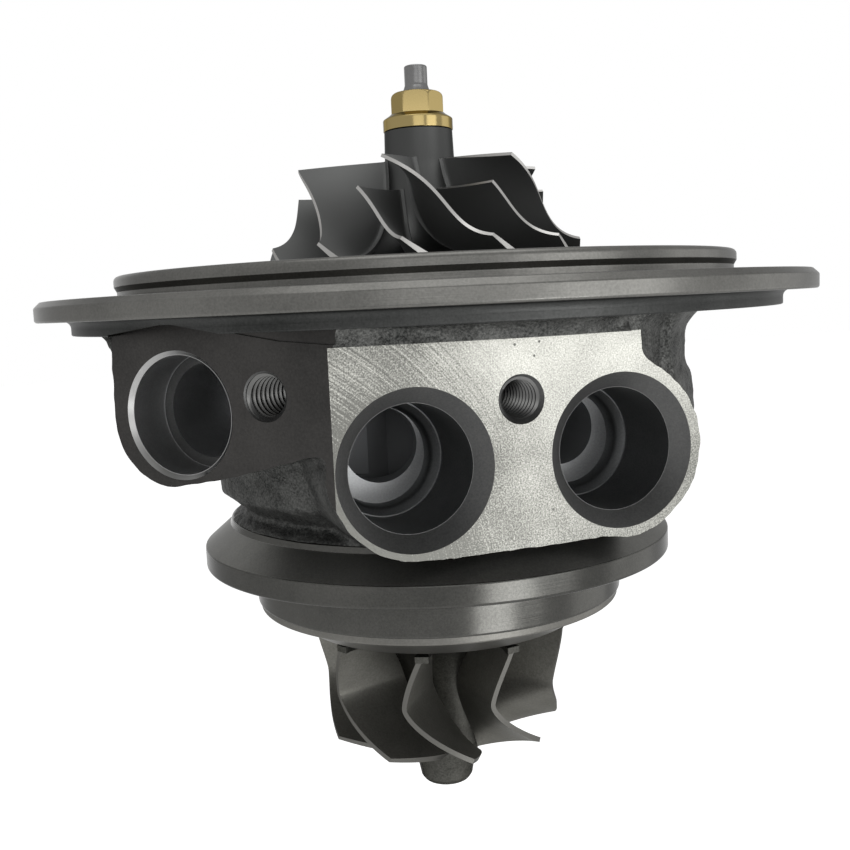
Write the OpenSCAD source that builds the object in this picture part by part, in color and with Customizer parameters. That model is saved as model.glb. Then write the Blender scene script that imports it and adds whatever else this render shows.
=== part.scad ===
// Turbocharger cartridge: the bearing housing, the rotor and all that runs between them.
// +Z follows the shaft towards the compressor wheel. Zero is the shoulder that the
// compressor housing seats on, and the bright two-port face looks along -Y.

/* [Flange and spigot] */
// Radius of the big flange
flange_r = 67.5; // [66:0.5:72]
// Thickness of the big flange
flange_t = 3.2; // [3:0.1:4]
// Radius of the step under the flange
step_r = 60.9; // [59:0.1:62]
// Height of the step under the flange
step_h = 2.2; // [1.6:0.1:2.6]
// Radius of the disc that centres the compressor housing
spigot_r = 54.6; // [54.3:0.1:56]
// Height of the disc above the shoulder
spigot_h = 3.8; // [3.4:0.1:4.6]
// Height of the locating land below the groove
land_h = 1.2; // [1:0.1:1.4]
// Width of the thin groove in the rim
groove_w = 0.7; // [0.5:0.1:0.9]
// Depth of the thin groove
groove_d = 0.6; // [0.4:0.1:1.6]
// Chamfer on the turned edges
edge_chamfer = 0.8; // [0.4:0.1:1]

/* [Casting] */
// Radius of the neck under the flange
neck_r = 44.6; // [44:0.2:46]
// Fillet between neck and flange
neck_fillet_r = 3.4; // [3:0.2:5]
// Depth of the neck below the shoulder
neck_depth = 16; // [15:0.5:18]
// Radius of the cast core
core_r = 39; // [38.4:0.2:39.6]
// Depth at which the shoulder has run down to the core
core_depth = 22; // [21:0.5:24]
// Smallest radius of the waist
waist_r = 35.4; // [34.8:0.2:36]
// Depth of the waist's middle
waist_depth = 37.4; // [37:0.1:37.8]

/* [Turbine end] */
// Radius of the V-band flange
vband_r = 42.4; // [42:0.2:44]
// Radius at the top of the clamping cone
cone_r = 37.6; // [37:0.2:38.2]
// Depth at the top of the clamping cone
cone_depth = 40.5; // [40.4:0.1:41]
// Depth at the top of the V-band rim
rim_depth = 44.3; // [44:0.1:45]
// Height of the V-band rim
rim_h = 3.7; // [3.2:0.1:4.4]
// Radius of the turbine pilot
pilot_r = 33.6; // [33:0.2:34.4]
// Height of the turbine pilot
pilot_h = 7.4; // [7:0.1:8]
// Wall of the turbine pilot
pilot_wall = 4; // [3:0.2:5]

/* [Two-port face] */
// Distance of the face from the shaft
face_d = 40.5; // [39:0.5:42]
// Depth of the face's top edge
face_top = 8.5; // [8.4:0.1:9.4]
// Distance between the two ports
port_pitch = 33.8; // [33:0.2:34.6]
// Depth of the ports
port_depth = 26.9; // [26.4:0.1:27.4]
// Radius of a port's bevel at the face
port_bevel_r = 12.2; // [11.6:0.1:12.4]
// Radius of a port's bore
port_r = 9.7; // [9:0.1:10]
// Length of a port's bore from the face
port_l = 18.5; // [17.5:0.5:19.5]
// Radius of the passage on into the water jacket
passage_r = 6.2; // [5:0.1:6.6]
// Radius of the cast boss round the port beside the side face
near_boss_r = 13.2; // [12.8:0.1:13.4]
// Radius of the cast boss round the other port
far_boss_r = 13.6; // [13:0.1:14.4]
// Depth of the pipe screw's hole
tap_depth = 17.7; // [17:0.1:18.4]

/* [Side face] */
// Angle between the two machined faces
side_angle = 45; // [43:1:47]
// Distance of the side face from the shaft
side_d = 49.3; // [48.8:0.1:50]
// Offset of the drain port from the middle of the side face
drain_u = 18.5; // [18:0.1:19]
// Depth of the drain port
drain_depth = 18; // [17.6:0.1:18.4]
// Radius of the drain port's bevel at the face
drain_bevel_r = 9.8; // [9.5:0.1:10]
// Radius of the drain port's bore
drain_r = 9.1; // [8.6:0.1:9.4]
// Offset of the side screw's hole
side_tap_u = 2.8; // [2.4:0.1:3.2]
// Depth of the side screw's hole
side_tap_depth = 15.2; // [14.8:0.1:15.6]
// Reach of the side boss from its middle
side_reach = 30.7; // [30:0.1:31]

/* [Tapped holes] */
// Thread radius of the pipe screws
tap_r = 3; // [2.5:0.5:3]
// Radius of the countersink over a tapped hole
tap_sink_r = 3.75; // [3.6:0.05:4]
// Length of a tapped hole
tap_l = 14; // [10:1:15]
// Thread radius of the oil inlet
inlet_r = 5; // [4:0.5:6]
// Length of the oil inlet's thread
inlet_l = 12; // [10:1:14]
// Radius of the oil inlet's boss
inlet_boss_r = 9.5; // [9:0.5:11]
// Distance of the oil inlet's face from the shaft
inlet_d = 46; // [44.5:0.5:47]

/* [Compressor wheel] */
// Number of full blades, with a splitter between each two
compressor_blades = 6; // [5:1:7]
// Radius of the wheel at its outlet
wheel_r = 28.2; // [27.6:0.1:28.4]
// Radius of the blade tips at the inlet
inducer_r = 22; // [21:0.2:23]
// Radius of the hub at the inlet
nose_r = 6.3; // [6.1:0.1:7]
// Height of the nose above the shoulder
nose_top = 27.7; // [27:0.1:29]
// Height of the blade tips at the inlet
inducer_top = 21; // [20:0.2:22]
// Height of the blades' roots at the inlet
inlet_root = 22.3; // [21.6:0.1:23]
// Height of the outlet's floor above the shoulder
outlet_floor = 4; // [3.8:0.1:4.2]
// Height of the blades at the outlet
outlet_h = 3.4; // [3:0.1:4]
// Angle that a blade's tip turns through from inlet to outlet
tip_wrap = 39.2; // [34:0.2:44]
// Angle that the outlet edge leans
outlet_lean = 9.3; // [6:0.1:12]
// Thickness of a blade at its root
compressor_root_t = 1.4; // [1:0.1:1.6]
// Thickness of a blade at its tip
compressor_tip_t = 0.6; // [0.4:0.1:0.8]

/* [Turbine wheel] */
// Number of turbine blades
turbine_blades = 9; // [8:1:10]
// Radius of the turbine wheel's inlet
turbine_r = 23.5; // [22.8:0.1:23.8]
// Radius at the corner between inlet and outer edge
corner_r = 21.9; // [21.4:0.1:22.2]
// Radius of the turbine wheel's outlet
exducer_r = 21.3; // [20.6:0.1:21.8]
// Depth of the back disc's rim
disc_depth = 61.8; // [61.6:0.1:62.4]
// Thickness of the back disc's rim
disc_t = 1.1; // [0.9:0.1:1.4]
// Height of the inlet edge
inlet_h = 9.9; // [9:0.1:10.6]
// Height from the back disc to the blades' outlet corner
outlet_corner_h = 19.8; // [19:0.1:20.6]
// Height from the back disc to the roots' end
root_end_h = 25.7; // [25:0.1:26.4]
// Height from the back disc to the nose's end
turbine_nose_h = 31.8; // [30:0.2:33]
// Radius of the hub at the outlet
turbine_hub_r = 6.2; // [5.8:0.1:6.8]
// Angle that the inlet edge leans
inlet_lean = 9.5; // [7:0.5:12]
// Angle that the outer edge turns through to the outlet corner
exit_turn = 30.5; // [26:0.5:34]
// Thickness of a blade at its root
turbine_root_t = 2; // [1.6:0.1:2.4]
// Thickness of a blade at its tip
turbine_tip_t = 0.9; // [0.7:0.1:1.2]
// Width left of the back disc behind each blade's tip
scallop_land = 2.6; // [2:0.1:3.4]
// Radius to the bottom of the scallops
scallop_root_r = 15.5; // [14.5:0.1:17]

/* [Shaft] */
// Radius of the shaft in the bushes
journal_r = 4; // [3.6:0.1:4.2]
// Radius of the shaft through the compressor wheel
stub_r = 2.5; // [2.3:0.1:2.6]
// Radius of the plain drive end
drive_r = 2.05; // [1.8:0.05:2.2]
// Length of the plain drive end with its taper
drive_l = 4.7; // [3.6:0.1:5]
// Radius of the seal hub on the turbine wheel
seal_hub_r = 8; // [7.6:0.1:8.4]

/* [Nut] */
// Radius of the nut's round collar
nut_collar_r = 6.25; // [6:0.05:6.6]
// Height of the nut's round collar
nut_collar_h = 2.9; // [2.4:0.1:3.4]
// Radius of the nut across its corners
nut_r = 4.65; // [4.5:0.05:5]
// Height of the nut's body
nut_h = 3.8; // [3:0.1:4.2]

/* [Bearings and seals] */
// Length of a bush
bush_l = 8; // [7.6:0.1:8.2]
// Outer radius of a bush
bush_r = 6.5; // [6.2:0.1:6.7]
// Running clearance between bush and shaft
shaft_clearance = 0.04; // [0.03:0.01:0.06]
// Running clearance between bush and housing
housing_clearance = 0.06; // [0.04:0.01:0.08]
// Clearance at the seals and the thrust bearing
seal_clearance = 0.08; // [0.05:0.01:0.1]
// Radius of the flinger sleeve
sleeve_r = 6; // [5.8:0.1:6.2]
// Height of the flinger sleeve above its slinger
sleeve_h = 6; // [5.8:0.1:6.4]
// Radius of the slinger
slinger_r = 9; // [8.6:0.1:9.2]
// Thickness of the slinger
slinger_t = 1.4; // [1.2:0.1:1.6]
// Radius of the thrust collar's spool
spool_r = 5.2; // [5:0.1:5.4]
// Thickness of the thrust bearing
thrust_t = 2.8; // [2.4:0.1:3]
// Radius of the thrust bearing
thrust_r = 16.5; // [16:0.1:17]
// Radius of the thrust washer
washer_r = 8.6; // [8:0.1:9]
// Thickness of the thrust washer
washer_t = 1.6; // [1.4:0.1:1.8]
// Radius of the seal plate
plate_r = 26; // [25.6:0.1:26.4]
// Depth of the seal plate's seat
plate_depth = 6; // [5.8:0.1:6.2]
// Thickness of the snap rings
ring_t = 0.7; // [0.6:0.1:0.8]
// Width of the seal rings
seal_ring_w = 1.4; // [1.2:0.1:1.6]

/* [Hidden] */
$fn = 96;

// One overrun serves every cut, and two small gaps serve the assembly.
over = 1;
axial_gap = 0.1;
bore_gap = 0.02;
running_gap = 0.6;

// Heights of the housing's sections below the shoulder
step_z = -flange_t - step_h;
rim_z = -rim_depth;
seat_z = rim_z - rim_h;
pilot_z = seat_z - pilot_h;

// Wheel recess, seal plate and thrust stack
recess_gap = 0.8;
recess_r = wheel_r + recess_gap;
disc_rim_t = 1.1;
wheel_rim_z = outlet_floor - disc_rim_t;
recess_z = wheel_rim_z - recess_gap;
hub_base_drop = 3.5;
hub_base_z = wheel_rim_z - hub_base_drop;
hub_base_r = 7.2;
hub_flare_r = 9;
back_slope_drop = 2;
slinger_z = hub_base_z - sleeve_h;
spool_z = slinger_z - slinger_t;
spool_h = thrust_t + 2 * axial_gap;
washer_z = spool_z - spool_h;
shoulder_z = washer_z - washer_t;
thrust_z = spool_z - axial_gap;
pocket_z = thrust_z - thrust_t;
deflector_t = 0.6;
plate_collar_z = thrust_z + deflector_t;

// Bush bores: both are as long as a bush, two rings, their gaps and two margins
bore_margin = 0.2;
bore_l = bush_l + 2 * (ring_t + axial_gap + bore_margin);
chamber_r = 12;
chamber_h = 2.8;
front_bore_z = pocket_z - chamber_h;
drain_chamber_r = 11;
drain_chamber_h = 10.6;
rear_bore_z = front_bore_z - bore_l - drain_chamber_h;
rear_chamber_r = 9.6;
rear_chamber_h = 2;
seal_bore_z = rear_bore_z - bore_l - rear_chamber_h;
bush_bore_r = bush_r + housing_clearance;
seal_bore_r = seal_hub_r + seal_clearance;
seal_hub_z = seal_bore_z - bore_margin;
ring_r = bush_bore_r + ring_t;
ring_inner_r = journal_r + 2 * ring_t;
end_boss_r = 14;
end_boss_rise = 1.9;
air_gap_rise = 8.4;

// Seal rings and their grooves
ring_groove_d = 0.9;
ring_seat_gap = 0.2;
ring_split_w = 0.4;
sleeve_groove_z = hub_base_z - sleeve_h / 2;
hub_groove_drop = 3.4;
hub_groove_z = seal_hub_z - hub_groove_drop;

// Two-port face and side face
port_x = port_pitch / 2;
passage_shift = 0.9;
passage_rise = 1.6;
boss_back = 15;
side_right_reach = 18;
side_right_depth = 20.9;
side_corner_r = 10.3;
side_corner_drop = 0.4;
side_fillet_r = 3.6;
side_fillet_lap = 0.4;
side_top_end = 12;
side_boss_back = 16;
drain_inner_r = 7.5;
drain_step_l = 8;
drain_l = 25;
drain_way_r = 4.6;
gallery_r = 2;
gallery_reach = 14.4;
cross_hole_r = 1.2;
drip_hole_r = 2.1;
drip_reach = 9.6;

// Water jacket: a C-shaped passage that clears the drain and the oil inlet
jacket_inner_r = 13.4;
jacket_outer_r = 22;
jacket_top = 20;
jacket_bottom = 34;
jacket_start = 214;
jacket_sweep = 168;

// Heat shield
shield_r = pilot_r - 0.6 * edge_chamfer;
shield_lip_h = 1.3;
shield_t = 0.8;
shield_floor_r = 25.6;
shield_gap = 0.6;
shield_floor_z = -disc_depth + disc_rise() + shield_gap;
shield_hole_r = seal_hub_r + 2 * shield_gap;

// Turbine wheel's back: the disc rises a little towards the hub
function disc_rise() = 0.7;
disc_z = -disc_depth;

function lerp(a, b, share) = a + (b - a) * share;
function bezier(p, t) = pow(1 - t, 3) * p[0] + 3 * t * pow(1 - t, 2) * p[1]
    + 3 * t * t * (1 - t) * p[2] + pow(t, 3) * p[3];
function unit(v) = v / norm(v);

// A ring or a disc between two heights
module tube(outer, inner, low, high) {
    translate([0, 0, low])
        difference() {
            cylinder(h = high - low, r = outer);
            translate([0, 0, -over])
                cylinder(h = high - low + 2 * over, r = inner);
        }
}

// Turns a shape drawn on the two-port face to the side face, or away to the back
module on_side_face() {
    rotate([0, 0, -side_angle])
        children();
}
module on_inlet_face() {
    rotate([0, 0, 180 - side_angle])
        children();
}

// Extrudes a face outline, drawn in x and height, from its face inwards
module from_face(distance, depth) {
    translate([0, depth - distance, 0])
        rotate([90, 0, 0])
            linear_extrude(height = depth)
                children();
}

// A round hole that runs inwards from a face, plain or with a bevel at 45 degrees
module plain_hole(distance, x, z, r, l) {
    translate([x, -distance - over, z])
        rotate([-90, 0, 0])
            cylinder(h = l + over, r = r);
}
module bevel_hole(distance, x, z, r, l, bevel_r) {
    translate([x, -distance, z])
        rotate([-90, 0, 0])
            rotate_extrude()
                polygon([[0, -over], [bevel_r + over, -over], [r, bevel_r - r], [r, l], [0, l]]);
}

// Points of an arc between two angles
arc_steps = 8;
function arc_points(x, y, r, start, end) = [for (i = [0 : arc_steps])
    [x + r * cos(lerp(start, end, i / arc_steps)), y + r * sin(lerp(start, end, i / arc_steps))]];

// Half section of the turned and cast outside, from the turbine end upwards
module housing_section() {
    small_chamfer = edge_chamfer / 2;
    polygon(concat(
        [[0, pilot_z], [pilot_r - small_chamfer, pilot_z], [pilot_r, pilot_z + small_chamfer],
            [pilot_r, seat_z], [vband_r - small_chamfer, seat_z],
            [vband_r, seat_z + small_chamfer], [vband_r, rim_z], [cone_r, -cone_depth],
            [lerp(waist_r, cone_r, 0.85), lerp(-waist_depth, -cone_depth, 0.68)],
            [waist_r, -waist_depth], [core_r, -waist_depth + core_r - waist_r],
            [core_r, -core_depth], [neck_r, -neck_depth]],
        arc_points(neck_r + neck_fillet_r, step_z - neck_fillet_r, neck_fillet_r, 180, 90),
        arc_points(step_r + step_h, step_z, step_h, 180, 90),
        [[flange_r, -flange_t], [flange_r, -edge_chamfer], [flange_r - edge_chamfer, 0],
            [spigot_r, 0], [spigot_r, land_h], [spigot_r - groove_d, land_h],
            [spigot_r - groove_d, land_h + groove_w], [spigot_r, land_h + groove_w],
            [spigot_r, spigot_h - edge_chamfer], [spigot_r - edge_chamfer, spigot_h],
            [0, spigot_h]]));
}

// Outline of the two-port boss: a round boss at each port and the web between
module port_boss_outline() {
    web_top = port_depth - far_boss_r;
    intersection() {
        union() {
            translate([-port_x, -port_depth])
                circle(r = near_boss_r);
            translate([port_x, -port_depth])
                circle(r = far_boss_r);
            translate([-port_x, -cone_depth])
                square([port_pitch, cone_depth - web_top]);
        }
        translate([-port_pitch, -cone_depth])
            square([2 * port_pitch, cone_depth]);
    }
}

// Outline of the side boss: a round corner, a rising underside and a cast corner on top
module side_boss_outline() {
    corner_x = -side_reach + side_corner_r;
    corner_z = -drain_depth - side_corner_drop;
    fillet_x = -side_reach - side_fillet_r;
    polygon(concat(
        arc_points(corner_x, corner_z, side_corner_r, 180, 270),
        [[-drain_u + side_corner_r / 2, corner_z - side_corner_r + edge_chamfer],
            [side_right_reach, -side_right_depth], [side_right_reach, -face_top],
            [0, step_z - edge_chamfer * 2.4], [-side_top_end, step_z + edge_chamfer],
            [fillet_x, step_z + edge_chamfer]],
        arc_points(fillet_x, step_z - side_fillet_r + side_fillet_lap, side_fillet_r, 90, 0)));
}

// Everything that is bored or turned out of the inside
module housing_inside() {
    translate([0, 0, recess_z])
        cylinder(h = spigot_h, r = recess_r);
    translate([0, 0, -plate_depth])
        cylinder(h = plate_depth + spigot_h, r = plate_r);
    translate([0, 0, pocket_z])
        cylinder(h = -pocket_z, r = thrust_r);
    translate([0, 0, front_bore_z])
        cylinder(h = -front_bore_z, r = chamber_r);
    translate([0, 0, front_bore_z - bore_l])
        cylinder(h = bore_l + over, r = bush_bore_r);
    translate([0, 0, rear_bore_z])
        cylinder(h = drain_chamber_h, r = drain_chamber_r);
    translate([0, 0, rear_bore_z - bore_l])
        cylinder(h = bore_l + over, r = bush_bore_r);
    translate([0, 0, seal_bore_z])
        cylinder(h = rear_chamber_h, r = rear_chamber_r);
    translate([0, 0, pilot_z - over])
        cylinder(h = seal_bore_z - pilot_z + 2 * over, r = seal_bore_r);
    for (z = ring_heights)
        translate([0, 0, z])
            cylinder(h = ring_t, r = ring_r);
    // Holes that the seal plate's screws go down into
    at_plate_screws()
        translate([0, 0, -plate_depth - screw_top_z - plate_screw_l - plate_screw_r])
            cylinder(h = plate_screw_l + 2 * plate_screw_r, r = plate_screw_r);
    at_pins()
        cylinder(h = pin_l, r = pin_r);
    // Air gap behind the heat shield
    difference() {
        translate([0, 0, pilot_z - over])
            cylinder(h = air_gap_rise + over, r = pilot_r - pilot_wall);
        translate([0, 0, pilot_z + end_boss_rise])
            cylinder(h = air_gap_rise, r = end_boss_r);
    }
}

ring_heights = [front_bore_z - bore_margin - ring_t,
    front_bore_z - bore_l + bore_margin,
    rear_bore_z - bore_margin - ring_t,
    rear_bore_z - bore_l + bore_margin];

// Water side: both ports, their passages and the jacket
module water_passages() {
    for (side = [-1, 1]) {
        bevel_hole(face_d, side * port_x, -port_depth, port_r, port_l, port_bevel_r);
        plain_hole(face_d, side * (port_x - passage_shift), -port_depth + passage_rise,
            passage_r, face_d - jacket_inner_r);
    }
    rotate([0, 0, jacket_start])
        rotate_extrude(angle = jacket_sweep)
            translate([jacket_inner_r, -jacket_bottom])
                square([jacket_outer_r - jacket_inner_r, jacket_bottom - jacket_top]);
}

// Oil side: the drain with its way to the chamber, and the feed with its galleries
module oil_passages() {
    chamber_mid = rear_bore_z + drain_chamber_h / 2;
    drain_end = side_d - drain_l;
    on_side_face() {
        bevel_hole(side_d, -drain_u, -drain_depth, drain_r, drain_step_l, drain_bevel_r);
        plain_hole(side_d, -drain_u, -drain_depth, drain_inner_r, drain_l);
        // Drips fall from the front chamber and from the one behind the seal
        translate([0, -drip_reach, front_bore_z - bore_l - over])
            cylinder(h = bore_l + 2 * over, r = drip_hole_r);
        translate([0, -drip_reach, seal_bore_z + drip_hole_r / 2])
            cylinder(h = bore_l + rear_chamber_h, r = drip_hole_r);
        // Cast way from the drain port down to the chamber
        run = norm([drain_u, drain_end]);
        fall = -chamber_mid - drain_depth;
        translate([-drain_u, -drain_end, -drain_depth])
            rotate([0, 0, atan2(drain_end, drain_u)])
                rotate([0, 90 + atan2(fall, run), 0])
                    translate([0, 0, -over])
                        cylinder(h = norm([run, fall]) - drain_chamber_r / 2, r = drain_way_r);
    }
    on_inlet_face() {
        bevel_hole(inlet_d, 0, chamber_mid, inlet_r, inlet_l, inlet_r + edge_chamfer);
        plain_hole(inlet_d, 0, chamber_mid, gallery_r, inlet_d - gallery_reach);
        gallery_top = front_bore_z - bore_l / 2;
        gallery_end = rear_bore_z - bore_l / 2;
        translate([0, -gallery_reach, gallery_end])
            cylinder(h = gallery_top - gallery_end, r = gallery_r * 0.8);
        for (z = [gallery_top, gallery_end])
            translate([0, 0, z])
                rotate([90, 0, 0])
                    cylinder(h = gallery_reach, r = cross_hole_r);
    }
}

module bearing_housing() {
    color([0.34, 0.34, 0.33])
        difference() {
            union() {
                rotate_extrude()
                    housing_section();
                from_face(face_d, face_d - boss_back)
                    port_boss_outline();
                intersection() {
                    on_side_face()
                        from_face(side_d, side_d - side_boss_back)
                            side_boss_outline();
                    translate([-flange_r, -face_d, -cone_depth])
                        cube([2 * flange_r, 2 * face_d, cone_depth]);
                }
                on_inlet_face()
                    translate([0, -inlet_d, rear_bore_z + drain_chamber_h / 2])
                        rotate([-90, 0, 0])
                            cylinder(h = inlet_d - drain_chamber_r, r = inlet_boss_r);
            }
            // Milled two-port face: it ends in a ledge under the neck's fillet
            translate([-flange_r, -flange_r, -cone_depth])
                cube([2 * flange_r, flange_r - face_d, cone_depth - face_top]);
            bevel_hole(face_d, 0, -tap_depth, tap_r, tap_l, tap_sink_r);
            on_side_face()
                bevel_hole(side_d, -side_tap_u, -side_tap_depth, tap_r, tap_l, tap_sink_r);
            housing_inside();
            water_passages();
            oil_passages();
        }
}

// Compressor wheel's flow path: hub line and tip line, from inlet to outlet
hub_line = [[nose_r, inlet_root],
    [nose_r * 1.05, lerp(outlet_floor, inlet_root, 0.27)],
    [lerp(nose_r, wheel_r, 0.26), lerp(outlet_floor, inlet_root, 0.01)],
    [wheel_r, outlet_floor]];
outlet_top = outlet_floor + outlet_h;
tip_line = [[inducer_r, inducer_top],
    [inducer_r, lerp(outlet_top, inducer_top, 0.45)],
    [lerp(inducer_r, wheel_r, 0.1), lerp(outlet_top, inducer_top, 0.056)],
    [wheel_r, outlet_top]];

// Angle at a point: zero is the outlet's top corner, and the inlet lags behind it
fast_wrap_share = 0.44;
function tip_angle(t) = -tip_wrap * ((1 - fast_wrap_share) * (1 - t)
    + fast_wrap_share * pow(1 - t, 6));
function hub_angle(t) = -tip_wrap + (tip_wrap + outlet_lean) * (1 - pow(1 - t, 1.3));

// Point of the blade's middle surface, at t from inlet to outlet and s from root to tip
function blade_point(t, s) = let (h = bezier(hub_line, t), k = bezier(tip_line, t),
    p = lerp(h, k, s), a = lerp(hub_angle(t), tip_angle(t), max(s, 0)))
    [p[0] * cos(a), p[0] * sin(a), p[1]];

// Point of the turbine blade's middle surface: its angle depends on height alone
turbine_tip_line = [[turbine_r - bore_gap, disc_z - disc_t / 2],
    [turbine_r - bore_gap, disc_z - inlet_h * 0.5], [corner_r, disc_z - inlet_h * 0.9],
    [exducer_r, disc_z - outlet_corner_h]];
turbine_hub_line = [[scallop_root_r, disc_z - disc_t],
    [scallop_root_r * 0.74, disc_z - disc_t * 1.6],
    [turbine_hub_r * 1.19, disc_z - root_end_h * 0.34],
    [turbine_hub_r, disc_z - root_end_h]];
turbine_root_line = [[scallop_root_r * 0.84, disc_z - disc_t / 2],
    [scallop_root_r * 0.55, disc_z - root_end_h * 0.1],
    [turbine_hub_r * 1.05, disc_z - root_end_h * 0.4],
    [turbine_hub_r * 0.86, disc_z - root_end_h * 0.98]];
function turbine_angle(z) = let (d = disc_z - inlet_h - z)
    d > 0 ? exit_turn * pow(d / (outlet_corner_h - inlet_h), 1.6)
        : inlet_lean * pow(-d / inlet_h, 1.3);
function turbine_point(t, s) = let (h = bezier(turbine_root_line, t),
    k = bezier(turbine_tip_line, t), p = lerp(h, k, s), a = turbine_angle(p[1]))
    [p[0] * cos(a), p[0] * sin(a), p[1]];

// Closed blade between two skins. Rows run along t and columns along s. The grid holds
// the middle surface's points, and each is moved out along the surface's normal.
small_share = 0.01;
function skin_point(p, along, across, half_t) = p + unit(cross(along, across)) * half_t;
module blade(mid, along, across, thickness, rows, columns) {
    side_count = rows * columns;
    points = concat(
        [for (i = [0 : side_count - 1]) skin_point(mid[i], along[i], across[i],
            thickness[i] / 2)],
        [for (i = [0 : side_count - 1]) skin_point(mid[i], along[i], across[i],
            -thickness[i] / 2)]);
    quads = concat(
        [for (i = [0 : rows - 2], j = [0 : columns - 2])
            [i * columns + j, i * columns + j + 1, (i + 1) * columns + j + 1,
                (i + 1) * columns + j]],
        [for (i = [0 : rows - 2], j = [0 : columns - 2])
            [side_count + i * columns + j, side_count + (i + 1) * columns + j,
                side_count + (i + 1) * columns + j + 1, side_count + i * columns + j + 1]],
        [for (i = [0 : rows - 2])
            [i * columns, (i + 1) * columns, side_count + (i + 1) * columns,
                side_count + i * columns]],
        [for (i = [0 : rows - 2])
            [(i + 1) * columns + columns - 1, i * columns + columns - 1,
                side_count + i * columns + columns - 1,
                side_count + (i + 1) * columns + columns - 1]],
        [for (j = [0 : columns - 2])
            [j + 1, j, side_count + j, side_count + j + 1]],
        [for (j = [0 : columns - 2])
            [(rows - 1) * columns + j, (rows - 1) * columns + j + 1,
                side_count + (rows - 1) * columns + j + 1,
                side_count + (rows - 1) * columns + j]]);
    triangles = [for (q = quads) each [[q[0], q[1], q[2]], [q[0], q[2], q[3]]]];
    polyhedron(points = points, faces = triangles);
}

// One compressor blade. A splitter starts part of the way down the passage.
root_sink = 0.7;
blade_columns = 5;
splitter_root_share = 0.15;
splitter_tip_share = 0.22;
module compressor_blade(rows, root_start, tip_start) {
    grid = [for (i = [0 : rows - 1], j = [0 : blade_columns - 1])
        let (s = j / (blade_columns - 1), start = lerp(root_start, tip_start, s),
            t = lerp(start, 1, i / (rows - 1)),
            span = norm(bezier(tip_line, t) - bezier(hub_line, t)))
        [t, j == 0 ? -root_sink / span : s]];
    blade([for (g = grid) blade_point(g[0], g[1])],
        [for (g = grid) blade_point(min(g[0] + small_share, 1), g[1])
            - blade_point(max(g[0] - small_share, 0), g[1])],
        [for (g = grid) blade_point(g[0], g[1] + small_share)
            - blade_point(g[0], g[1] - small_share)],
        [for (g = grid) lerp(compressor_root_t, compressor_tip_t, pow(max(g[1], 0), 0.6))],
        rows, blade_columns);
}

// Outlet corner of the first full blade, counted from the two-port face towards +X
blade_phase = 3.5;
compressor_rows = 14;
splitter_rows = 11;
hub_steps = 16;
module compressor_wheel() {
    pitch = 360 / compressor_blades;
    color([0.2, 0.2, 0.2])
        difference() {
            union() {
                rotate_extrude()
                    polygon(concat(
                        [for (i = [0 : hub_steps]) bezier(hub_line, i / hub_steps)],
                        [[wheel_r, wheel_rim_z],
                            [hub_flare_r, wheel_rim_z - back_slope_drop],
                            [hub_base_r, wheel_rim_z - back_slope_drop],
                            [hub_base_r, hub_base_z], [0, hub_base_z], [0, nose_top],
                            [nose_r - edge_chamfer / 2, nose_top]]));
                for (i = [0 : compressor_blades - 1])
                    rotate([0, 0, blade_phase - 90 + i * pitch]) {
                        compressor_blade(compressor_rows, 0, 0);
                        rotate([0, 0, pitch / 2])
                            compressor_blade(splitter_rows, splitter_root_share,
                                splitter_tip_share);
                    }
            }
            translate([0, 0, hub_base_z - over])
                cylinder(h = nose_top - hub_base_z + 2 * over, r = stub_r + bore_gap);
        }
}

// Back disc's scallops leave a land of full radius behind each blade
half_pitch = 180 / turbine_blades;
chord_x = turbine_r * cos(half_pitch);
chord_y = turbine_r * sin(half_pitch) - scallop_land / 2;
scallop_r = (pow(chord_x - scallop_root_r, 2) + pow(chord_y, 2))
    / (2 * (chord_x - scallop_root_r));
turbine_phase = -37.5;
turbine_rows = 13;
module turbine_wheel() {
    pitch = 360 / turbine_blades;
    top_angle = turbine_angle(disc_z);
    nose_z = disc_z - turbine_nose_h;
    root_end_z = disc_z - root_end_h;
    grid = [for (i = [0 : turbine_rows - 1], j = [0 : blade_columns - 1])
        [i / (turbine_rows - 1), j / (blade_columns - 1)]];
    color([0.3, 0.29, 0.27]) {
        difference() {
            rotate_extrude()
                polygon(concat(
                    [[0, seal_hub_z], [seal_hub_r, seal_hub_z],
                        [seal_hub_r, disc_z + disc_rise()],
                        [turbine_r, disc_z], [turbine_r, disc_z - disc_t]],
                    [for (i = [0 : hub_steps]) bezier(turbine_hub_line, i / hub_steps)],
                    [[turbine_hub_r * 0.94, lerp(root_end_z, nose_z, 0.3)],
                        [turbine_hub_r * 0.83, lerp(root_end_z, nose_z, 0.84)],
                        [turbine_hub_r * 0.68, nose_z], [0, nose_z]]));
            for (i = [0 : turbine_blades - 1])
                rotate([0, 0, turbine_phase - 90 + top_angle + (i + 0.5) * pitch])
                    translate([scallop_root_r + scallop_r, 0, disc_z - disc_t - inlet_h / 2])
                        cylinder(h = inlet_h, r = scallop_r);
            tube(seal_hub_r + over, seal_hub_r - ring_groove_d, hub_groove_z - seal_ring_w
                - 2 * axial_gap, hub_groove_z);
        }
        for (i = [0 : turbine_blades - 1])
            rotate([0, 0, turbine_phase - 90 + i * pitch])
                blade([for (g = grid) turbine_point(g[0], g[1])],
                    [for (g = grid) turbine_point(min(g[0] + small_share, 1), g[1])
                        - turbine_point(max(g[0] - small_share, 0), g[1])],
                    [for (g = grid) turbine_point(g[0], g[1] + small_share)
                        - turbine_point(g[0], g[1] - small_share)],
                    [for (g = grid) lerp(turbine_root_t, turbine_tip_t, max(g[1], 0))],
                    turbine_rows, blade_columns);
    }
}

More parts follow.
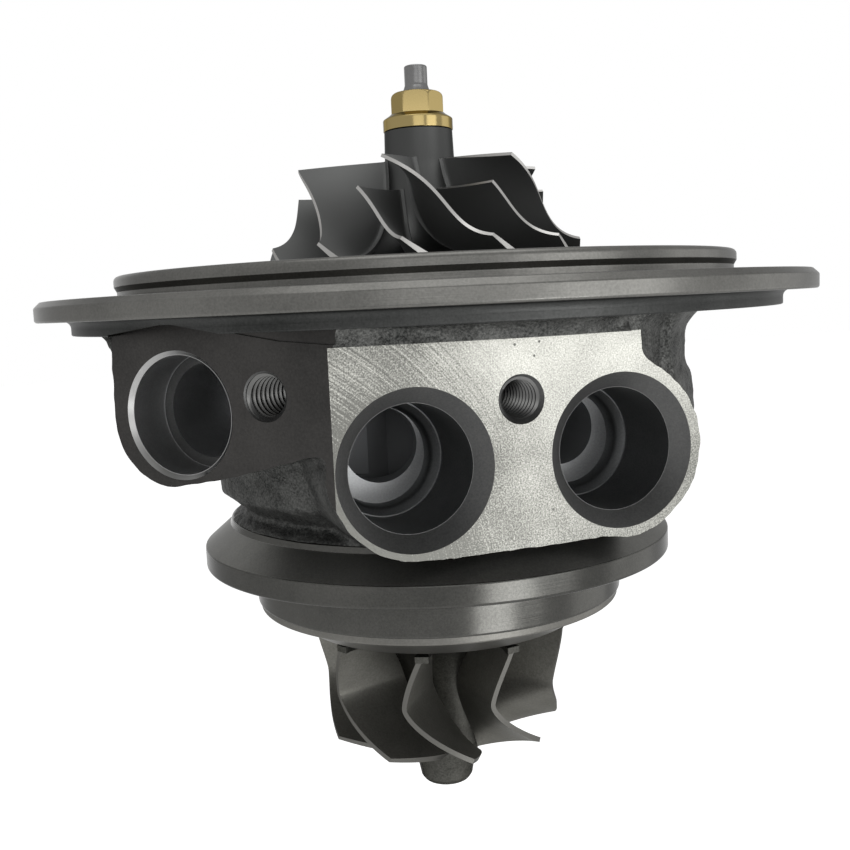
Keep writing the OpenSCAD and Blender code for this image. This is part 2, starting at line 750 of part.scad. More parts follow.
// Shaft: journal, stub through the wheel and the plain drive end over the nut
nut_top = nose_top + nut_collar_h + nut_h;
shaft_top = nut_top + drive_l;
drive_taper_l = 1.3;
module shaft() {
    color([0.55, 0.55, 0.56])
        rotate_extrude()
            polygon([[0, seal_hub_z], [journal_r, seal_hub_z], [journal_r, shoulder_z],
                [stub_r, shoulder_z], [stub_r, nut_top], [drive_r, nut_top + drive_taper_l],
                [drive_r, shaft_top - edge_chamfer / 2],
                [drive_r - edge_chamfer / 2, shaft_top], [0, shaft_top]]);
}

nut_turn = -22.5;
module shaft_nut() {
    shoulder = edge_chamfer * 1.1;
    color([0.72, 0.58, 0.22])
        difference() {
            union() {
                translate([0, 0, nose_top])
                    cylinder(h = nut_collar_h - shoulder, r = nut_collar_r);
                translate([0, 0, nose_top + nut_collar_h - shoulder])
                    cylinder(h = shoulder, r1 = nut_collar_r, r2 = nut_r + axial_gap);
                intersection() {
                    translate([0, 0, nose_top])
                        rotate([0, 0, nut_turn])
                            cylinder(h = nut_collar_h + nut_h, r = nut_r, $fn = 6);
                    translate([0, 0, nose_top])
                        cylinder(h = nut_collar_h + nut_h, r1 = nut_r * 1.9,
                            r2 = nut_r * 0.78);
                }
            }
            translate([0, 0, nose_top - over])
                cylinder(h = nut_collar_h + nut_h + 2 * over, r = stub_r + bore_gap);
        }
}

// Sheet heat shield: a rim under the pilot and a dished floor over the turbine wheel
module heat_shield() {
    lip_z = pilot_z - shield_lip_h;
    color([0.42, 0.41, 0.39])
        rotate_extrude()
            polygon([[shield_hole_r, shield_floor_z], [shield_floor_r, shield_floor_z],
                [shield_r - shield_lip_h, lip_z], [shield_r, lip_z], [shield_r, pilot_z],
                [shield_r - 2 * shield_lip_h, pilot_z],
                [shield_floor_r - shield_t / 2, shield_floor_z + shield_t],
                [shield_hole_r, shield_floor_z + shield_t]]);
}

// Seal plate: dished for the wheel's back, with a collar down to the deflector
plate_bore_r = sleeve_r + seal_clearance;
plate_collar_w = 3.5;
plate_groove_z = -plate_depth / 2;
o_ring_r = 0.8;
plate_screw_r = 1.5;
plate_screw_head_r = 2.8;
plate_screw_l = 4;
plate_screw_reach = 21.6;
screw_top_z = wheel_rim_z - running_gap - back_slope_drop;
module seal_plate() {
    color([0.5, 0.5, 0.5])
        difference() {
            rotate_extrude()
                polygon([[plate_bore_r, -plate_depth],
                    [thrust_r - plate_collar_w, -plate_depth],
                    [thrust_r - plate_collar_w, plate_collar_z], [thrust_r, plate_collar_z],
                    [thrust_r, -plate_depth], [plate_r, -plate_depth],
                    [plate_r, wheel_rim_z - recess_gap],
                    [hub_flare_r + running_gap, wheel_rim_z - back_slope_drop - running_gap],
                    [hub_base_r + running_gap, wheel_rim_z - back_slope_drop - running_gap],
                    [hub_base_r + running_gap, hub_base_z - running_gap],
                    [plate_bore_r, hub_base_z - running_gap]]);
            tube(plate_r + over, plate_r - 2 * o_ring_r, plate_groove_z - o_ring_r,
                plate_groove_z + o_ring_r);
            at_plate_screws()
                screw_shape();
        }
}

module seal_plate_o_ring() {
    color([0.08, 0.08, 0.08])
        translate([0, 0, plate_groove_z])
            rotate_extrude()
                translate([plate_r - o_ring_r, 0])
                    circle(r = o_ring_r);
}

// Four countersunk screws hold the plate down on its seat
plate_screws = 4;
module at_plate_screws() {
    for (i = [0 : plate_screws - 1])
        rotate([0, 0, 45 + i * 360 / plate_screws])
            translate([plate_screw_reach, 0, screw_top_z])
                children();
}
module screw_shape() {
    head_h = plate_screw_head_r - plate_screw_r;
    translate([0, 0, -head_h])
        cylinder(h = head_h, r1 = plate_screw_r, r2 = plate_screw_head_r);
    cylinder(h = back_slope_drop, r = plate_screw_head_r);
    translate([0, 0, -plate_depth - screw_top_z - plate_screw_l])
        cylinder(h = plate_depth + screw_top_z + plate_screw_l, r = plate_screw_r);
}
module seal_plate_screws() {
    color([0.3, 0.3, 0.32])
        at_plate_screws()
            difference() {
                screw_shape();
                cylinder(h = 2 * back_slope_drop, r = plate_screw_head_r + over);
                translate([0, 0, -plate_screw_r / 2])
                    cylinder(h = 2 * back_slope_drop, r = plate_screw_r * 0.8, $fn = 6);
            }
}

// Split ring that rests against the bore it seals, loose in the rotor's groove
module split_ring(outer, inner, z, width) {
    difference() {
        tube(outer, inner, z - width, z);
        translate([0, -ring_split_w / 2, z - width - over])
            cube([outer + over, ring_split_w, width + 2 * over]);
    }
}

module compressor_seal_ring() {
    color([0.45, 0.45, 0.46])
        split_ring(plate_bore_r, sleeve_r - ring_groove_d + ring_seat_gap,
            sleeve_groove_z - axial_gap, seal_ring_w);
}

module turbine_seal_ring() {
    color([0.45, 0.45, 0.46])
        split_ring(seal_bore_r, seal_hub_r - ring_groove_d + ring_seat_gap,
            hub_groove_z - axial_gap, seal_ring_w);
}

module flinger_sleeve() {
    color([0.5, 0.5, 0.51])
        difference() {
            union() {
                translate([0, 0, slinger_z])
                    cylinder(h = sleeve_h, r = sleeve_r);
                translate([0, 0, spool_z])
                    cylinder(h = slinger_t, r = slinger_r);
            }
            tube(sleeve_r + over, sleeve_r - ring_groove_d, sleeve_groove_z - seal_ring_w
                - 2 * axial_gap, sleeve_groove_z);
            translate([0, 0, spool_z - over])
                cylinder(h = sleeve_h + slinger_t + 2 * over, r = stub_r + bore_gap);
        }
}

// The thrust bearing runs between the slinger and a washer on the shaft's shoulder
module thrust_collar() {
    color([0.5, 0.5, 0.51])
        tube(spool_r, stub_r + bore_gap, washer_z, spool_z);
}

module thrust_washer() {
    color([0.5, 0.5, 0.51])
        tube(washer_r, stub_r + bore_gap, shoulder_z, washer_z);
}

// Bronze thrust plate with ramps cut as shallow oil grooves in its upper face
pad_count = 6;
pad_groove_d = 0.5;
pad_groove_w = 1.2;
pin_r = 1;
pin_l = 4;
pin_reach = 14;
module thrust_bearing() {
    color([0.68, 0.52, 0.28])
        difference() {
            tube(thrust_r, spool_r + seal_clearance, pocket_z, thrust_z);
            for (i = [0 : pad_count - 1])
                rotate([0, 0, i * 360 / pad_count])
                    translate([spool_r - over, -pad_groove_w / 2, thrust_z - pad_groove_d])
                        cube([slinger_r - spool_r + over, pad_groove_w, pad_groove_d + over]);
            at_pins()
                cylinder(h = pin_l, r = pin_r);
        }
}
module at_pins() {
    for (side = [-1, 1])
        translate([0, side * pin_reach, pocket_z - pin_l / 2])
            children();
}
module thrust_bearing_pins() {
    color([0.5, 0.5, 0.52])
        at_pins()
            cylinder(h = pin_l, r = pin_r);
}

module oil_deflector() {
    skirt_h = deflector_t * 1.6;
    color([0.55, 0.55, 0.54]) {
        tube(thrust_r, slinger_r + running_gap, thrust_z, plate_collar_z);
        tube(slinger_r + running_gap + deflector_t, slinger_r + running_gap, thrust_z,
            plate_collar_z + skirt_h - deflector_t);
    }
}

// Floating bush with four oil holes
bush_hole_r = 0.9;
module bush(top) {
    difference() {
        tube(bush_r, journal_r + shaft_clearance, top - bush_l, top);
        for (turn = [0, 90])
            translate([0, 0, top - bush_l / 2])
                rotate([90, 0, turn])
                    translate([0, 0, -bush_r - over])
                        cylinder(h = 2 * (bush_r + over), r = bush_hole_r);
    }
}
module compressor_side_bush() {
    color([0.72, 0.56, 0.3])
        bush(front_bore_z - bore_margin - ring_t - axial_gap);
}
module turbine_side_bush() {
    color([0.72, 0.56, 0.3])
        bush(rear_bore_z - bore_margin - ring_t - axial_gap);
}

module bush_snap_rings() {
    color([0.4, 0.4, 0.42])
        for (z = ring_heights)
            difference() {
                tube(ring_r, ring_inner_r, z, z + ring_t);
                translate([0, -bush_bore_r / 4, z - over])
                    cube([ring_r + over, bush_bore_r / 2, ring_t + 2 * over]);
            }
}

bearing_housing();
compressor_wheel();
turbine_wheel();
shaft();
shaft_nut();
heat_shield();
seal_plate();
seal_plate_o_ring();
seal_plate_screws();
compressor_seal_ring();
flinger_sleeve();
thrust_collar();
thrust_washer();
thrust_bearing();
thrust_bearing_pins();
oil_deflector();
compressor_side_bush();
turbine_side_bush();
bush_snap_rings();
turbine_seal_ring();
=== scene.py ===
import math
import bpy
import bmesh
import numpy as np
from mathutils import Matrix, Vector


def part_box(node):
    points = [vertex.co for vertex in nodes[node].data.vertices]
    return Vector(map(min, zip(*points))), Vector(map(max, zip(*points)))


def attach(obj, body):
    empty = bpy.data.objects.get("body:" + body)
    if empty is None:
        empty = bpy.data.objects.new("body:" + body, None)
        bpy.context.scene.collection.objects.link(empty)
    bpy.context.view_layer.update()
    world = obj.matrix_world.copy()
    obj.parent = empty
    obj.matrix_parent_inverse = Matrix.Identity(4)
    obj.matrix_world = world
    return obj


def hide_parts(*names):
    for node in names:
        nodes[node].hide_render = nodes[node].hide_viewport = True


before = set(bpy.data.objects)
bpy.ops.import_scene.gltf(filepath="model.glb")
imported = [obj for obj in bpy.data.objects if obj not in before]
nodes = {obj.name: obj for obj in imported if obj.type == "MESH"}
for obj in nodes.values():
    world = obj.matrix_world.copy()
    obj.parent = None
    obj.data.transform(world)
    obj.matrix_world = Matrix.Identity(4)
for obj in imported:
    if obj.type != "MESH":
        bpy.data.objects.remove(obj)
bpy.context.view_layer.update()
mm = 0.001

# Camera, worked out from the turned edges in a frame turned by faceTurn from the part's own.
# Lengths are in millimetres and angles in radians.
faceTurn = math.radians(-19.5)
camera = dict(distance=193.768, side=-0.22, height=-2.672, yaw=-0.0045, pitch=0.1166,
              roll=-0.046, focalPx=1051.277, centreX=425.62, centreY=424.97, imagePx=850,
              sensor=36)


def fromCameraFrame(v):
    return Matrix.Rotation(faceTurn, 3, "Z") @ Vector(v)


def makeCamera():
    c = camera
    data = bpy.data.cameras.new("camera")
    obj = bpy.data.objects.new("camera", data)
    bpy.context.scene.collection.objects.link(obj)
    forward = Vector((math.sin(c["yaw"]) * math.cos(c["pitch"]),
                      math.cos(c["yaw"]) * math.cos(c["pitch"]), -math.sin(c["pitch"])))
    right = Vector((math.cos(c["yaw"]), -math.sin(c["yaw"]), 0))
    up = right.cross(forward)
    cosRoll, sinRoll = math.cos(c["roll"]), math.sin(c["roll"])
    axisX = cosRoll * right + sinRoll * up
    axisY = cosRoll * up - sinRoll * right
    columns = [fromCameraFrame(axisX), fromCameraFrame(axisY), fromCameraFrame(-forward)]
    place = Matrix(columns).transposed().to_4x4()
    place.translation = fromCameraFrame((c["side"], -c["distance"], c["height"])) * mm
    obj.matrix_world = place
    data.sensor_width = c["sensor"]
    data.lens = c["focalPx"] / c["imagePx"] * c["sensor"]
    data.shift_x = (c["imagePx"] / 2 - c["centreX"]) / c["imagePx"]
    data.shift_y = (c["centreY"] - c["imagePx"] / 2) / c["imagePx"]
    data.clip_start = 0.01
    data.clip_end = 20
    bpy.context.scene.camera = obj


makeCamera()
print("camera made")


# Node helpers: every pattern reads Object coordinates, which are metres on the part
def newMaterial(name, color, metallic=1.0, roughness=0.4, edge=0.4, specular=0.5):
    m = bpy.data.materials.new(name)
    m.use_nodes = True
    b = shader(m)
    b.inputs["Base Color"].default_value = (*color, 1)
    b.inputs["Metallic"].default_value = metallic
    b.inputs["Roughness"].default_value = roughness
    b.inputs["Specular Tint"].default_value = (edge, edge, edge, 1)
    b.inputs["Specular IOR Level"].default_value = specular
    return m


def shader(m):
    return m.node_tree.nodes["Principled BSDF"]


def node(m, kind, **values):
    n = m.node_tree.nodes.new(kind)
    for key, value in values.items():
        if key in n.inputs:
            n.inputs[key].default_value = value
        else:
            setattr(n, key, value)
    return n


def wire(m, output, target):
    m.node_tree.links.new(output, target)


# One sum on two sockets or numbers
def combine(m, operation, a, b):
    n = node(m, "ShaderNodeMath", operation=operation)
    for k, value in enumerate((a, b)):
        if isinstance(value, (int, float)):
            n.inputs[k].default_value = value
        else:
            wire(m, value, n.inputs[k])
    return n.outputs["Value"]


# A share of one pattern and the rest of another
def mixOf(m, a, b, share):
    return combine(m, "ADD", combine(m, "MULTIPLY", a, share),
                   combine(m, "MULTIPLY", b, 1 - share))


# The base colour runs between two tones as the pattern goes from start to end
def addTone(m, pattern, dark, light, start=0.3, end=0.7):
    ramp = node(m, "ShaderNodeValToRGB")
    first, last = ramp.color_ramp.elements
    first.position, first.color = start, (*dark, 1)
    last.position, last.color = end, (*light, 1)
    wire(m, pattern, ramp.inputs["Fac"])
    wire(m, ramp.outputs["Color"], shader(m).inputs["Base Color"])


def addBump(m, height, strength, distance):
    bump = node(m, "ShaderNodeBump", Strength=strength, Distance=distance)
    wire(m, height, bump.inputs["Height"])
    wire(m, bump.outputs["Normal"], shader(m).inputs["Normal"])


def objectPoint(m):
    return node(m, "ShaderNodeTexCoord").outputs["Object"]


def splitPoint(m):
    split = node(m, "ShaderNodeSeparateXYZ")
    wire(m, objectPoint(m), split.inputs["Vector"])
    return split.outputs


def noiseOn(m, vector, scale, detail=4.0, rough=0.6):
    n = node(m, "ShaderNodeTexNoise", Scale=scale, Detail=detail, Roughness=rough)
    wire(m, vector, n.inputs["Vector"])
    return n.outputs["Fac"]


# A value carried in a straight line from one range to another, and held at the ends
def ranged(m, value, fromEnds, toEnds):
    n = node(m, "ShaderNodeMapRange")
    for key, end in zip(("From Min", "From Max", "To Min", "To Max"), (*fromEnds, *toEnds)):
        n.inputs[key].default_value = end
    wire(m, value, n.inputs["Value"])
    return n.outputs["Result"]


# Coordinates stretched along a scratch's direction
def stretched(m, scale, rotation):
    place = node(m, "ShaderNodeMapping")
    place.inputs["Scale"].default_value = scale
    place.inputs["Rotation"].default_value = rotation
    wire(m, objectPoint(m), place.inputs["Vector"])
    return place.outputs["Vector"]


# Coordinates that run with a lathe tool: radius, height and a little of the angle
def turnedPoint(m, perRadian=0.0002):
    x, y, z = splitPoint(m)
    radius = combine(m, "POWER", combine(m, "ADD", combine(m, "MULTIPLY", x, x),
                                         combine(m, "MULTIPLY", y, y)), 0.5)
    angle = combine(m, "MULTIPLY", combine(m, "ARCTAN2", y, x), perRadian)
    out = node(m, "ShaderNodeCombineXYZ")
    for value, into in ((radius, "X"), (z, "Y"), (angle, "Z")):
        wire(m, value, out.inputs[into])
    return out.outputs["Vector"]


# Sand-cast skin: blotches, and a grain in tone and in height
def castMaterial(name, dark, light, metallic=0.6, roughness=0.5, bump=0.6):
    m = newMaterial(name, light, metallic, roughness, 0.3, 0.2)
    p = objectPoint(m)
    grain = noiseOn(m, p, 2600, 3, 0.7)
    addTone(m, mixOf(m, grain, noiseOn(m, p, 140), 0.6), dark, light, 0.38, 0.62)
    addBump(m, combine(m, "ADD", noiseOn(m, p, 1500, 3), noiseOn(m, p, 560)), bump, 0.00034)
    return m


# Turned iron: grooves from the lathe, and a fine speckle
def turnedMaterial(name, dark, light, roughness, grooves=0.22):
    m = newMaterial(name, light, 1.0, roughness, 0.6)
    speckle = noiseOn(m, objectPoint(m), 3000, 2)
    addTone(m, mixOf(m, speckle, noiseOn(m, objectPoint(m), 55), 0.4), dark, light, 0.35, 0.65)
    lines = noiseOn(m, turnedPoint(m), 5200, 2, 0.5)
    addBump(m, combine(m, "ADD", lines, combine(m, "MULTIPLY", speckle, 0.35)), grooves, 0.00006)
    return m


# Bright face-milled iron: a speckled grain, a few pits, and the cutter's arcs about a far centre in
# millimetres. The arcs fade away to the right, as x goes through fadeX in metres. A painted
# highlight raises the tone towards the top, along the z range in the table, and painted shade
# lowers it to the left.
milled = dict(dark=(0.075, 0.075, 0.069), light=(0.39, 0.39, 0.358), roughness=0.36,
              cutterCentre=(-52, -40.5, -48), arcScale=2600, arcTone=0.8, arcHeight=1.2,
              fadeX=(-0.019, 0.0), fadeTo=(1.0, 0.1), leftPaintedShade=0.28, paintedLightZ=(-0.026, -0.012),
              paintedLightTo=(-0.1, 0.11), pitScale=210.0, pitR=0.045, pitTone=0.5, grainScale=4200,
              blotchScale=120, grainShare=0.75, grainHeight=0.45)


def brightMaterial():
    f = milled
    m = newMaterial("milledBright", f["light"], 1.0, f["roughness"])
    p = objectPoint(m)
    away = node(m, "ShaderNodeVectorMath", operation="DISTANCE")
    wire(m, p, away.inputs[0])
    away.inputs[1].default_value = [c * mm for c in f["cutterCentre"]]
    line = node(m, "ShaderNodeCombineXYZ")
    wire(m, away.outputs["Value"], line.inputs["X"])
    # The fade also carries painted shade on the left, and the ramp along z paints light towards the
    # top
    fade = ranged(m, splitPoint(m)[0], f["fadeX"], f["fadeTo"])
    paintedLight = ranged(m, splitPoint(m)[2], f["paintedLightZ"], f["paintedLightTo"])
    arcs = noiseOn(m, line.outputs["Vector"], f["arcScale"], 2)
    arcs = combine(m, "MULTIPLY", combine(m, "SUBTRACT", arcs, 0.5), fade)
    spots = node(m, "ShaderNodeTexVoronoi", Scale=f["pitScale"])
    wire(m, p, spots.inputs["Vector"])
    pits = combine(m, "LESS_THAN", spots.outputs["Distance"], f["pitR"])
    pits = combine(m, "MULTIPLY", pits, f["pitTone"])
    grain = noiseOn(m, p, f["grainScale"], 2, 0.6)
    tone = combine(m, "ADD", mixOf(m, grain, noiseOn(m, p, f["blotchScale"]), f["grainShare"]),
                   combine(m, "MULTIPLY", arcs, f["arcTone"]))
    tone = combine(m, "SUBTRACT", combine(m, "ADD", tone, paintedLight),
                   combine(m, "MULTIPLY", fade, f["leftPaintedShade"]))
    addTone(m, combine(m, "SUBTRACT", tone, pits), f["dark"], f["light"], 0.25, 0.75)
    height = combine(m, "ADD", combine(m, "MULTIPLY", grain, f["grainHeight"]),
                     combine(m, "MULTIPLY", arcs, f["arcHeight"]))
    addBump(m, combine(m, "SUBTRACT", height, pits), 0.3, 0.00012)
    return m


# Milled side face, its dark tone painted shade: nearly smooth, with long faint scratches
def shadedSideMaterial(dark, light):
    m = newMaterial("milledSidePaintedShade", light, 1.0, 0.38)
    scratches = noiseOn(m, stretched(m, (2600, 260, 260), (0, 0, math.radians(45))), 1.0, 3)
    grain = noiseOn(m, objectPoint(m), 2600, 2, 0.7)
    addTone(m, mixOf(m, noiseOn(m, objectPoint(m), 70), grain, 0.6), dark, light, 0.36, 0.64)
    addBump(m, combine(m, "ADD", scratches, grain), 0.12, 0.00005)
    return m


mats = {
    "cast": castMaterial("castSkin", (0.022, 0.023, 0.022), (0.12, 0.121, 0.116)),
    # The step under the flange: turned iron painted darker for the shade of the flange above it
    "step": turnedMaterial("stepIronPaintedShade", (0.028, 0.029, 0.028), (0.055, 0.056, 0.055), 0.45, 0.3),
    "turned": turnedMaterial("turnedIron", (0.085, 0.084, 0.079), (0.135, 0.133, 0.125), 0.33),
    "rim": turnedMaterial("turnedRim", (0.047, 0.047, 0.044), (0.077, 0.076, 0.071), 0.22),
    "cone": turnedMaterial("turnedCone", (0.1, 0.1, 0.094), (0.155, 0.154, 0.145), 0.4),
    "bright": brightMaterial(),
    "side": shadedSideMaterial((0.034, 0.033, 0.032), (0.054, 0.052, 0.05)),
    "bevel": turnedMaterial("portBevel", (0.07, 0.071, 0.071), (0.112, 0.112, 0.11), 0.52, 0.12),
    "bore": turnedMaterial("boredIron", (0.14, 0.144, 0.148), (0.22, 0.224, 0.224), 0.5, 0.1),
    "seat": turnedMaterial("portSeat", (0.14, 0.143, 0.145), (0.21, 0.214, 0.215), 0.4, 0.1),
    "way": newMaterial("castPassage", (0.2, 0.205, 0.21), 0.3, 0.7),
    # The drain's bore and its deeper bore are painted light: much lighter than the other bores, for
    # the light falling inside the drain
    "drain": turnedMaterial("drainBorePaintedLight", (0.3, 0.303, 0.306), (0.42, 0.423, 0.426), 0.45, 0.1),
    "drainDeep": turnedMaterial("drainDeep", (0.3, 0.305, 0.31), (0.4, 0.405, 0.41), 0.5, 0.1),
    # The drain's bevel is a painted highlight, brighter than the other bevels
    "drainBevel": newMaterial("drainBevel", (0.3, 0.3, 0.296), roughness=0.3),
    "thread": newMaterial("tappedThread", (0.13, 0.13, 0.127), roughness=0.3),
    "wheelHub": newMaterial("wheelHub", (0.056, 0.057, 0.056), roughness=0.42),
    # The compressor blades are painted lighter than the hub, for the shade between the blades
    "wheel": newMaterial("wheelBladesPaintedLight", (0.12, 0.122, 0.12), roughness=0.68),
    # The compressor blades' thin edges carry a painted highlight
    "wheelEdgePaintedHighlight": newMaterial("wheelEdgePaintedHighlight", (0.34, 0.335, 0.325), roughness=0.34),
    "turbineHub": castMaterial("turbineHub", (0.036, 0.036, 0.032), (0.075, 0.074, 0.067), 0.9,
                               0.42, 0.12),
    # The turbine blades are painted lighter than the hub, for the shade between the blades
    "turbine": castMaterial("turbineBladesPaintedLight", (0.125, 0.123, 0.11), (0.175, 0.172, 0.156), 0.8,
                            0.46, 0.1),
    # The turbine blades' edges are painted light as well
    "turbineEdgePaintedLight": newMaterial("turbineEdgePaintedLight", (0.11, 0.108, 0.1), roughness=0.4),
    "gold": newMaterial("nutGold", (0.27, 0.21, 0.092), roughness=0.16),
    "steel": turnedMaterial("groundSteel", (0.13, 0.13, 0.13), (0.165, 0.165, 0.163), 0.26, 0.05),
    "bronze": newMaterial("bronze", (0.6, 0.42, 0.22), roughness=0.35),
    "rubber": newMaterial("rubber", (0.02, 0.02, 0.02), metallic=0.0, roughness=0.6),
    "shield": turnedMaterial("shieldSheet", (0.1, 0.098, 0.09), (0.15, 0.147, 0.136), 0.4, 0.1),
}
print("materials made")


# Mesh helpers: shapes are worked out in millimetres, and written in metres
def makePiece(name, shape, materials, tags=None, body="housing", slot="cast_iron_body",
              replaced=(), sharpAngle=32.0):
    verts, polys = shape
    mesh = bpy.data.meshes.new(name)
    mesh.from_pydata((np.asarray(verts, float) * mm).tolist(), [], polys)
    obj = bpy.data.objects.new(name, mesh)
    bpy.context.scene.collection.objects.link(obj)
    for m in materials:
        mesh.materials.append(m)
    if tags is not None:
        mesh.polygons.foreach_set("material_index", np.asarray(tags, np.int32))
    closeUp(mesh, sharpAngle)
    if body:
        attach(obj, body)
    if replaced:
        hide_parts(*replaced)
    return obj


# Merges seams and poles, and turns every face outwards
def closeUp(mesh, sharpAngle):
    b = bmesh.new()
    b.from_mesh(mesh)
    bmesh.ops.remove_doubles(b, verts=b.verts, dist=1e-7)
    bmesh.ops.recalc_face_normals(b, faces=b.faces)
    b.to_mesh(mesh)
    b.free()
    mesh.shade_smooth()
    mesh.set_sharp_from_angle(angle=math.radians(sharpAngle))
    mesh.update()


# Points of an arc between two angles in degrees
def arcPoints(x, y, r, start, end, steps=10):
    a = np.radians(np.linspace(start, end, steps + 1))
    return list(zip((x + r * np.cos(a)).tolist(), (y + r * np.sin(a)).tolist()))


# A closed outline whose corners are rounded where a point has a third number, its radius. A
# point a little beyond each end of a rounding keeps the shading of the flat beside it straight.
def roundLoop(points, steps=4):
    out = []
    for i, p in enumerate(points):
        corner = np.array(p[:2], float)
        if len(p) < 3 or not p[2]:
            out.append(tuple(corner))
            continue
        a = np.array(points[i - 1][:2], float) - corner
        c = np.array(points[(i + 1) % len(points)][:2], float) - corner
        longA, longC = np.linalg.norm(a), np.linalg.norm(c)
        a, c = a / longA, c / longC
        half = math.acos(float(np.clip(a @ c, -1, 1))) / 2
        reach = min(p[2] / math.tan(half), 0.47 * min(longA, longC))
        beside = min(0.03, 0.02 * min(longA, longC))
        radius = reach * math.tan(half)
        middle = corner + (a + c) / np.linalg.norm(a + c) * radius / math.sin(half)
        start, end = corner + a * reach - middle, corner + c * reach - middle
        first = math.atan2(start[1], start[0])
        sweep = (math.atan2(end[1], end[0]) - first + math.pi) % (2 * math.pi) - math.pi
        arc = arcPoints(*middle, radius, math.degrees(first), math.degrees(first + sweep), steps)
        out.append(tuple(corner + a * (reach + beside)))
        out += arc + [tuple(corner + c * (reach + beside))]
    return out


# Quads over a grid of rows and columns, either of which may close on itself
def gridQuads(rows, columns, closeRows=False, closeColumns=False):
    i, k = np.meshgrid(np.arange(rows if closeRows else rows - 1),
                       np.arange(columns if closeColumns else columns - 1), indexing="ij")
    j, n = (i + 1) % rows, (k + 1) % columns
    return np.stack([i * columns + k, j * columns + k, j * columns + n, i * columns + n],
                    -1).reshape(-1, 4)


# A closed (radius, height) outline turned round Z: x = r cos a, y = r sin a, z = height
def revolve(loop, count=256, start=0.0, sweep=360.0):
    loop = np.asarray(loop, float)
    n = len(loop)
    whole = sweep >= 360
    rings = count if whole else count + 1
    a = np.radians(start + sweep * np.arange(rings) / count)
    verts = np.stack([np.outer(np.cos(a), loop[:, 0]), np.outer(np.sin(a), loop[:, 0]),
                      np.tile(loop[:, 1], (rings, 1))], -1).reshape(-1, 3)
    quads = gridQuads(rings, n, whole, True)
    onAxis = loop[:, 0] < 1e-9
    quads = quads[~(onAxis[quads[:, 0] % n] & onAxis[quads[:, 2] % n])].tolist()
    if not whole:
        quads += [list(range(n)), list(range(rings * n - 1, (rings - 1) * n - 1, -1))]
    return verts, quads


# A closed prism of an (x, y) outline between two heights
def prism(outline, low, high):
    flat = np.asarray(outline, float)
    n = len(flat)
    verts = np.vstack([np.column_stack([flat, np.full(n, low)]),
                       np.column_stack([flat, np.full(n, high)])])
    polys = gridQuads(2, n, False, True).tolist()
    return verts, polys + [list(range(n)), list(range(2 * n - 1, n - 1, -1))]


# Points whose axis is +Z, turned to point along a direction from a centre
def along(shape, centre, direction):
    z = np.array(direction, float)
    z /= np.linalg.norm(z)
    x = np.cross((0, 0, 1.0), z)
    x /= np.linalg.norm(x)
    return np.asarray(centre, float) + shape[0] @ np.stack([x, np.cross(z, x), z]), shape[1]


# Points (u, height, depth) on a machined face, with the depth running in from the face
def onFace(shape, azimuth, distance):
    a = math.radians(azimuth)
    v = np.asarray(shape[0], float)
    return (np.outer(v[:, 0], (math.cos(a), math.sin(a), 0)) + np.outer(v[:, 1], (0, 0, 1.0))
            + np.outer(distance - v[:, 2], (math.sin(a), -math.cos(a), 0)), shape[1])


def joinShapes(shapes):
    verts, polys, base = [], [], 0
    for v, p in shapes:
        verts.append(np.asarray(v, float))
        polys += [[base + i for i in face] for face in p]
        base += len(v)
    return np.vstack(verts), polys


# Smooth random waves about one length long: cosines along random directions, added up
def waves(points, length, seed, count=28):
    rng = np.random.default_rng(seed)
    ways = rng.normal(size=(count, 3))
    ways *= 2 * math.pi / length * rng.uniform(0.7, 1.3, (count, 1)) \
        / np.linalg.norm(ways, axis=1, keepdims=True)
    return np.cos(points @ ways.T + rng.uniform(0, 2 * math.pi, count)).sum(1) \
        / math.sqrt(count / 2)


# Applies what the modifiers make
def freeze(obj):
    graph = bpy.context.evaluated_depsgraph_get()
    graph.update()
    done = bpy.data.meshes.new_from_object(obj.evaluated_get(graph), depsgraph=graph)
    obj.modifiers.clear()
    old = obj.data
    obj.data = done
    bpy.data.meshes.remove(old)


# Machines a piece: each cutter leaves its own material on the surface that it makes
def machine(target, cutters, sharpAngle=34.0):
    for shape, material in cutters:
        c = makePiece("cutter", shape, [mats[material]], body=None)
        m = target.modifiers.new("cut", "BOOLEAN")
        m.operation, m.solver, m.object = "DIFFERENCE", "MANIFOLD", c
        m.material_mode = "TRANSFER"
        freeze(target)
        bpy.data.objects.remove(c)
    target.data.set_sharp_from_angle(angle=math.radians(sharpAngle))


# Two machined faces: the bright one with two ports at azimuth 0, and at -45 degrees the one painted
# dark for its shade
mainFace = dict(azimuth=0, distance=40.5, top=-8.45, bottom=-41.3, portX=16.9, portZ=-26.9,
                farBossZ=-26.7, nearBossR=13.2, farBossR=13.9, tapZ=-17.7, tapSinkR=3.76)
sideFace = dict(azimuth=-45, distance=49.3, drainU=-18.5, drainZ=-18.0, tapU=-2.8, tapZ=-15.2,
                tapSinkR=3.72, cornerU=-20.4, cornerZ=-18.5, cornerR=10.5, recessD=0.4,
                recess=[(-12, -5.2), (0, -7.3), (8, -8.0), (26, -8.3), (26, -4.6), (-12, -4.6)],
                bossLine=[(-13.35, -27.9), (18, -20.9), (18, -10.5), (9.0, -9.8), (8.7, -4.95),
                          (-29.7, -5.0), (-30.2, -5.7), (-30.6, -9.2)],
                filletLine=[(-36.4, -5.3), (-34.2, -5.7), (-33.2, -6.3), (-32.5, -7.1),
                            (-31.9, -8.2), (-31.4, -9.4), (-30.9, -11), (-30.6, -13),
                            (-20, -13), (-20, -4.95), (-36.4, -4.95)])

# Flange, step and spigot at the compressor end, all turned
flange = dict(r=67.5, t=3.3, chamfer=0.95, stepR=61.9, stepZ=-5.65, stepFillet=2.4,
              spigotR=54.6, spigotH=3.8, grooveLow=1.2, grooveHigh=2.0, grooveD=0.45, recessR=29,
              recessZ=2.1, plateR=26.02)
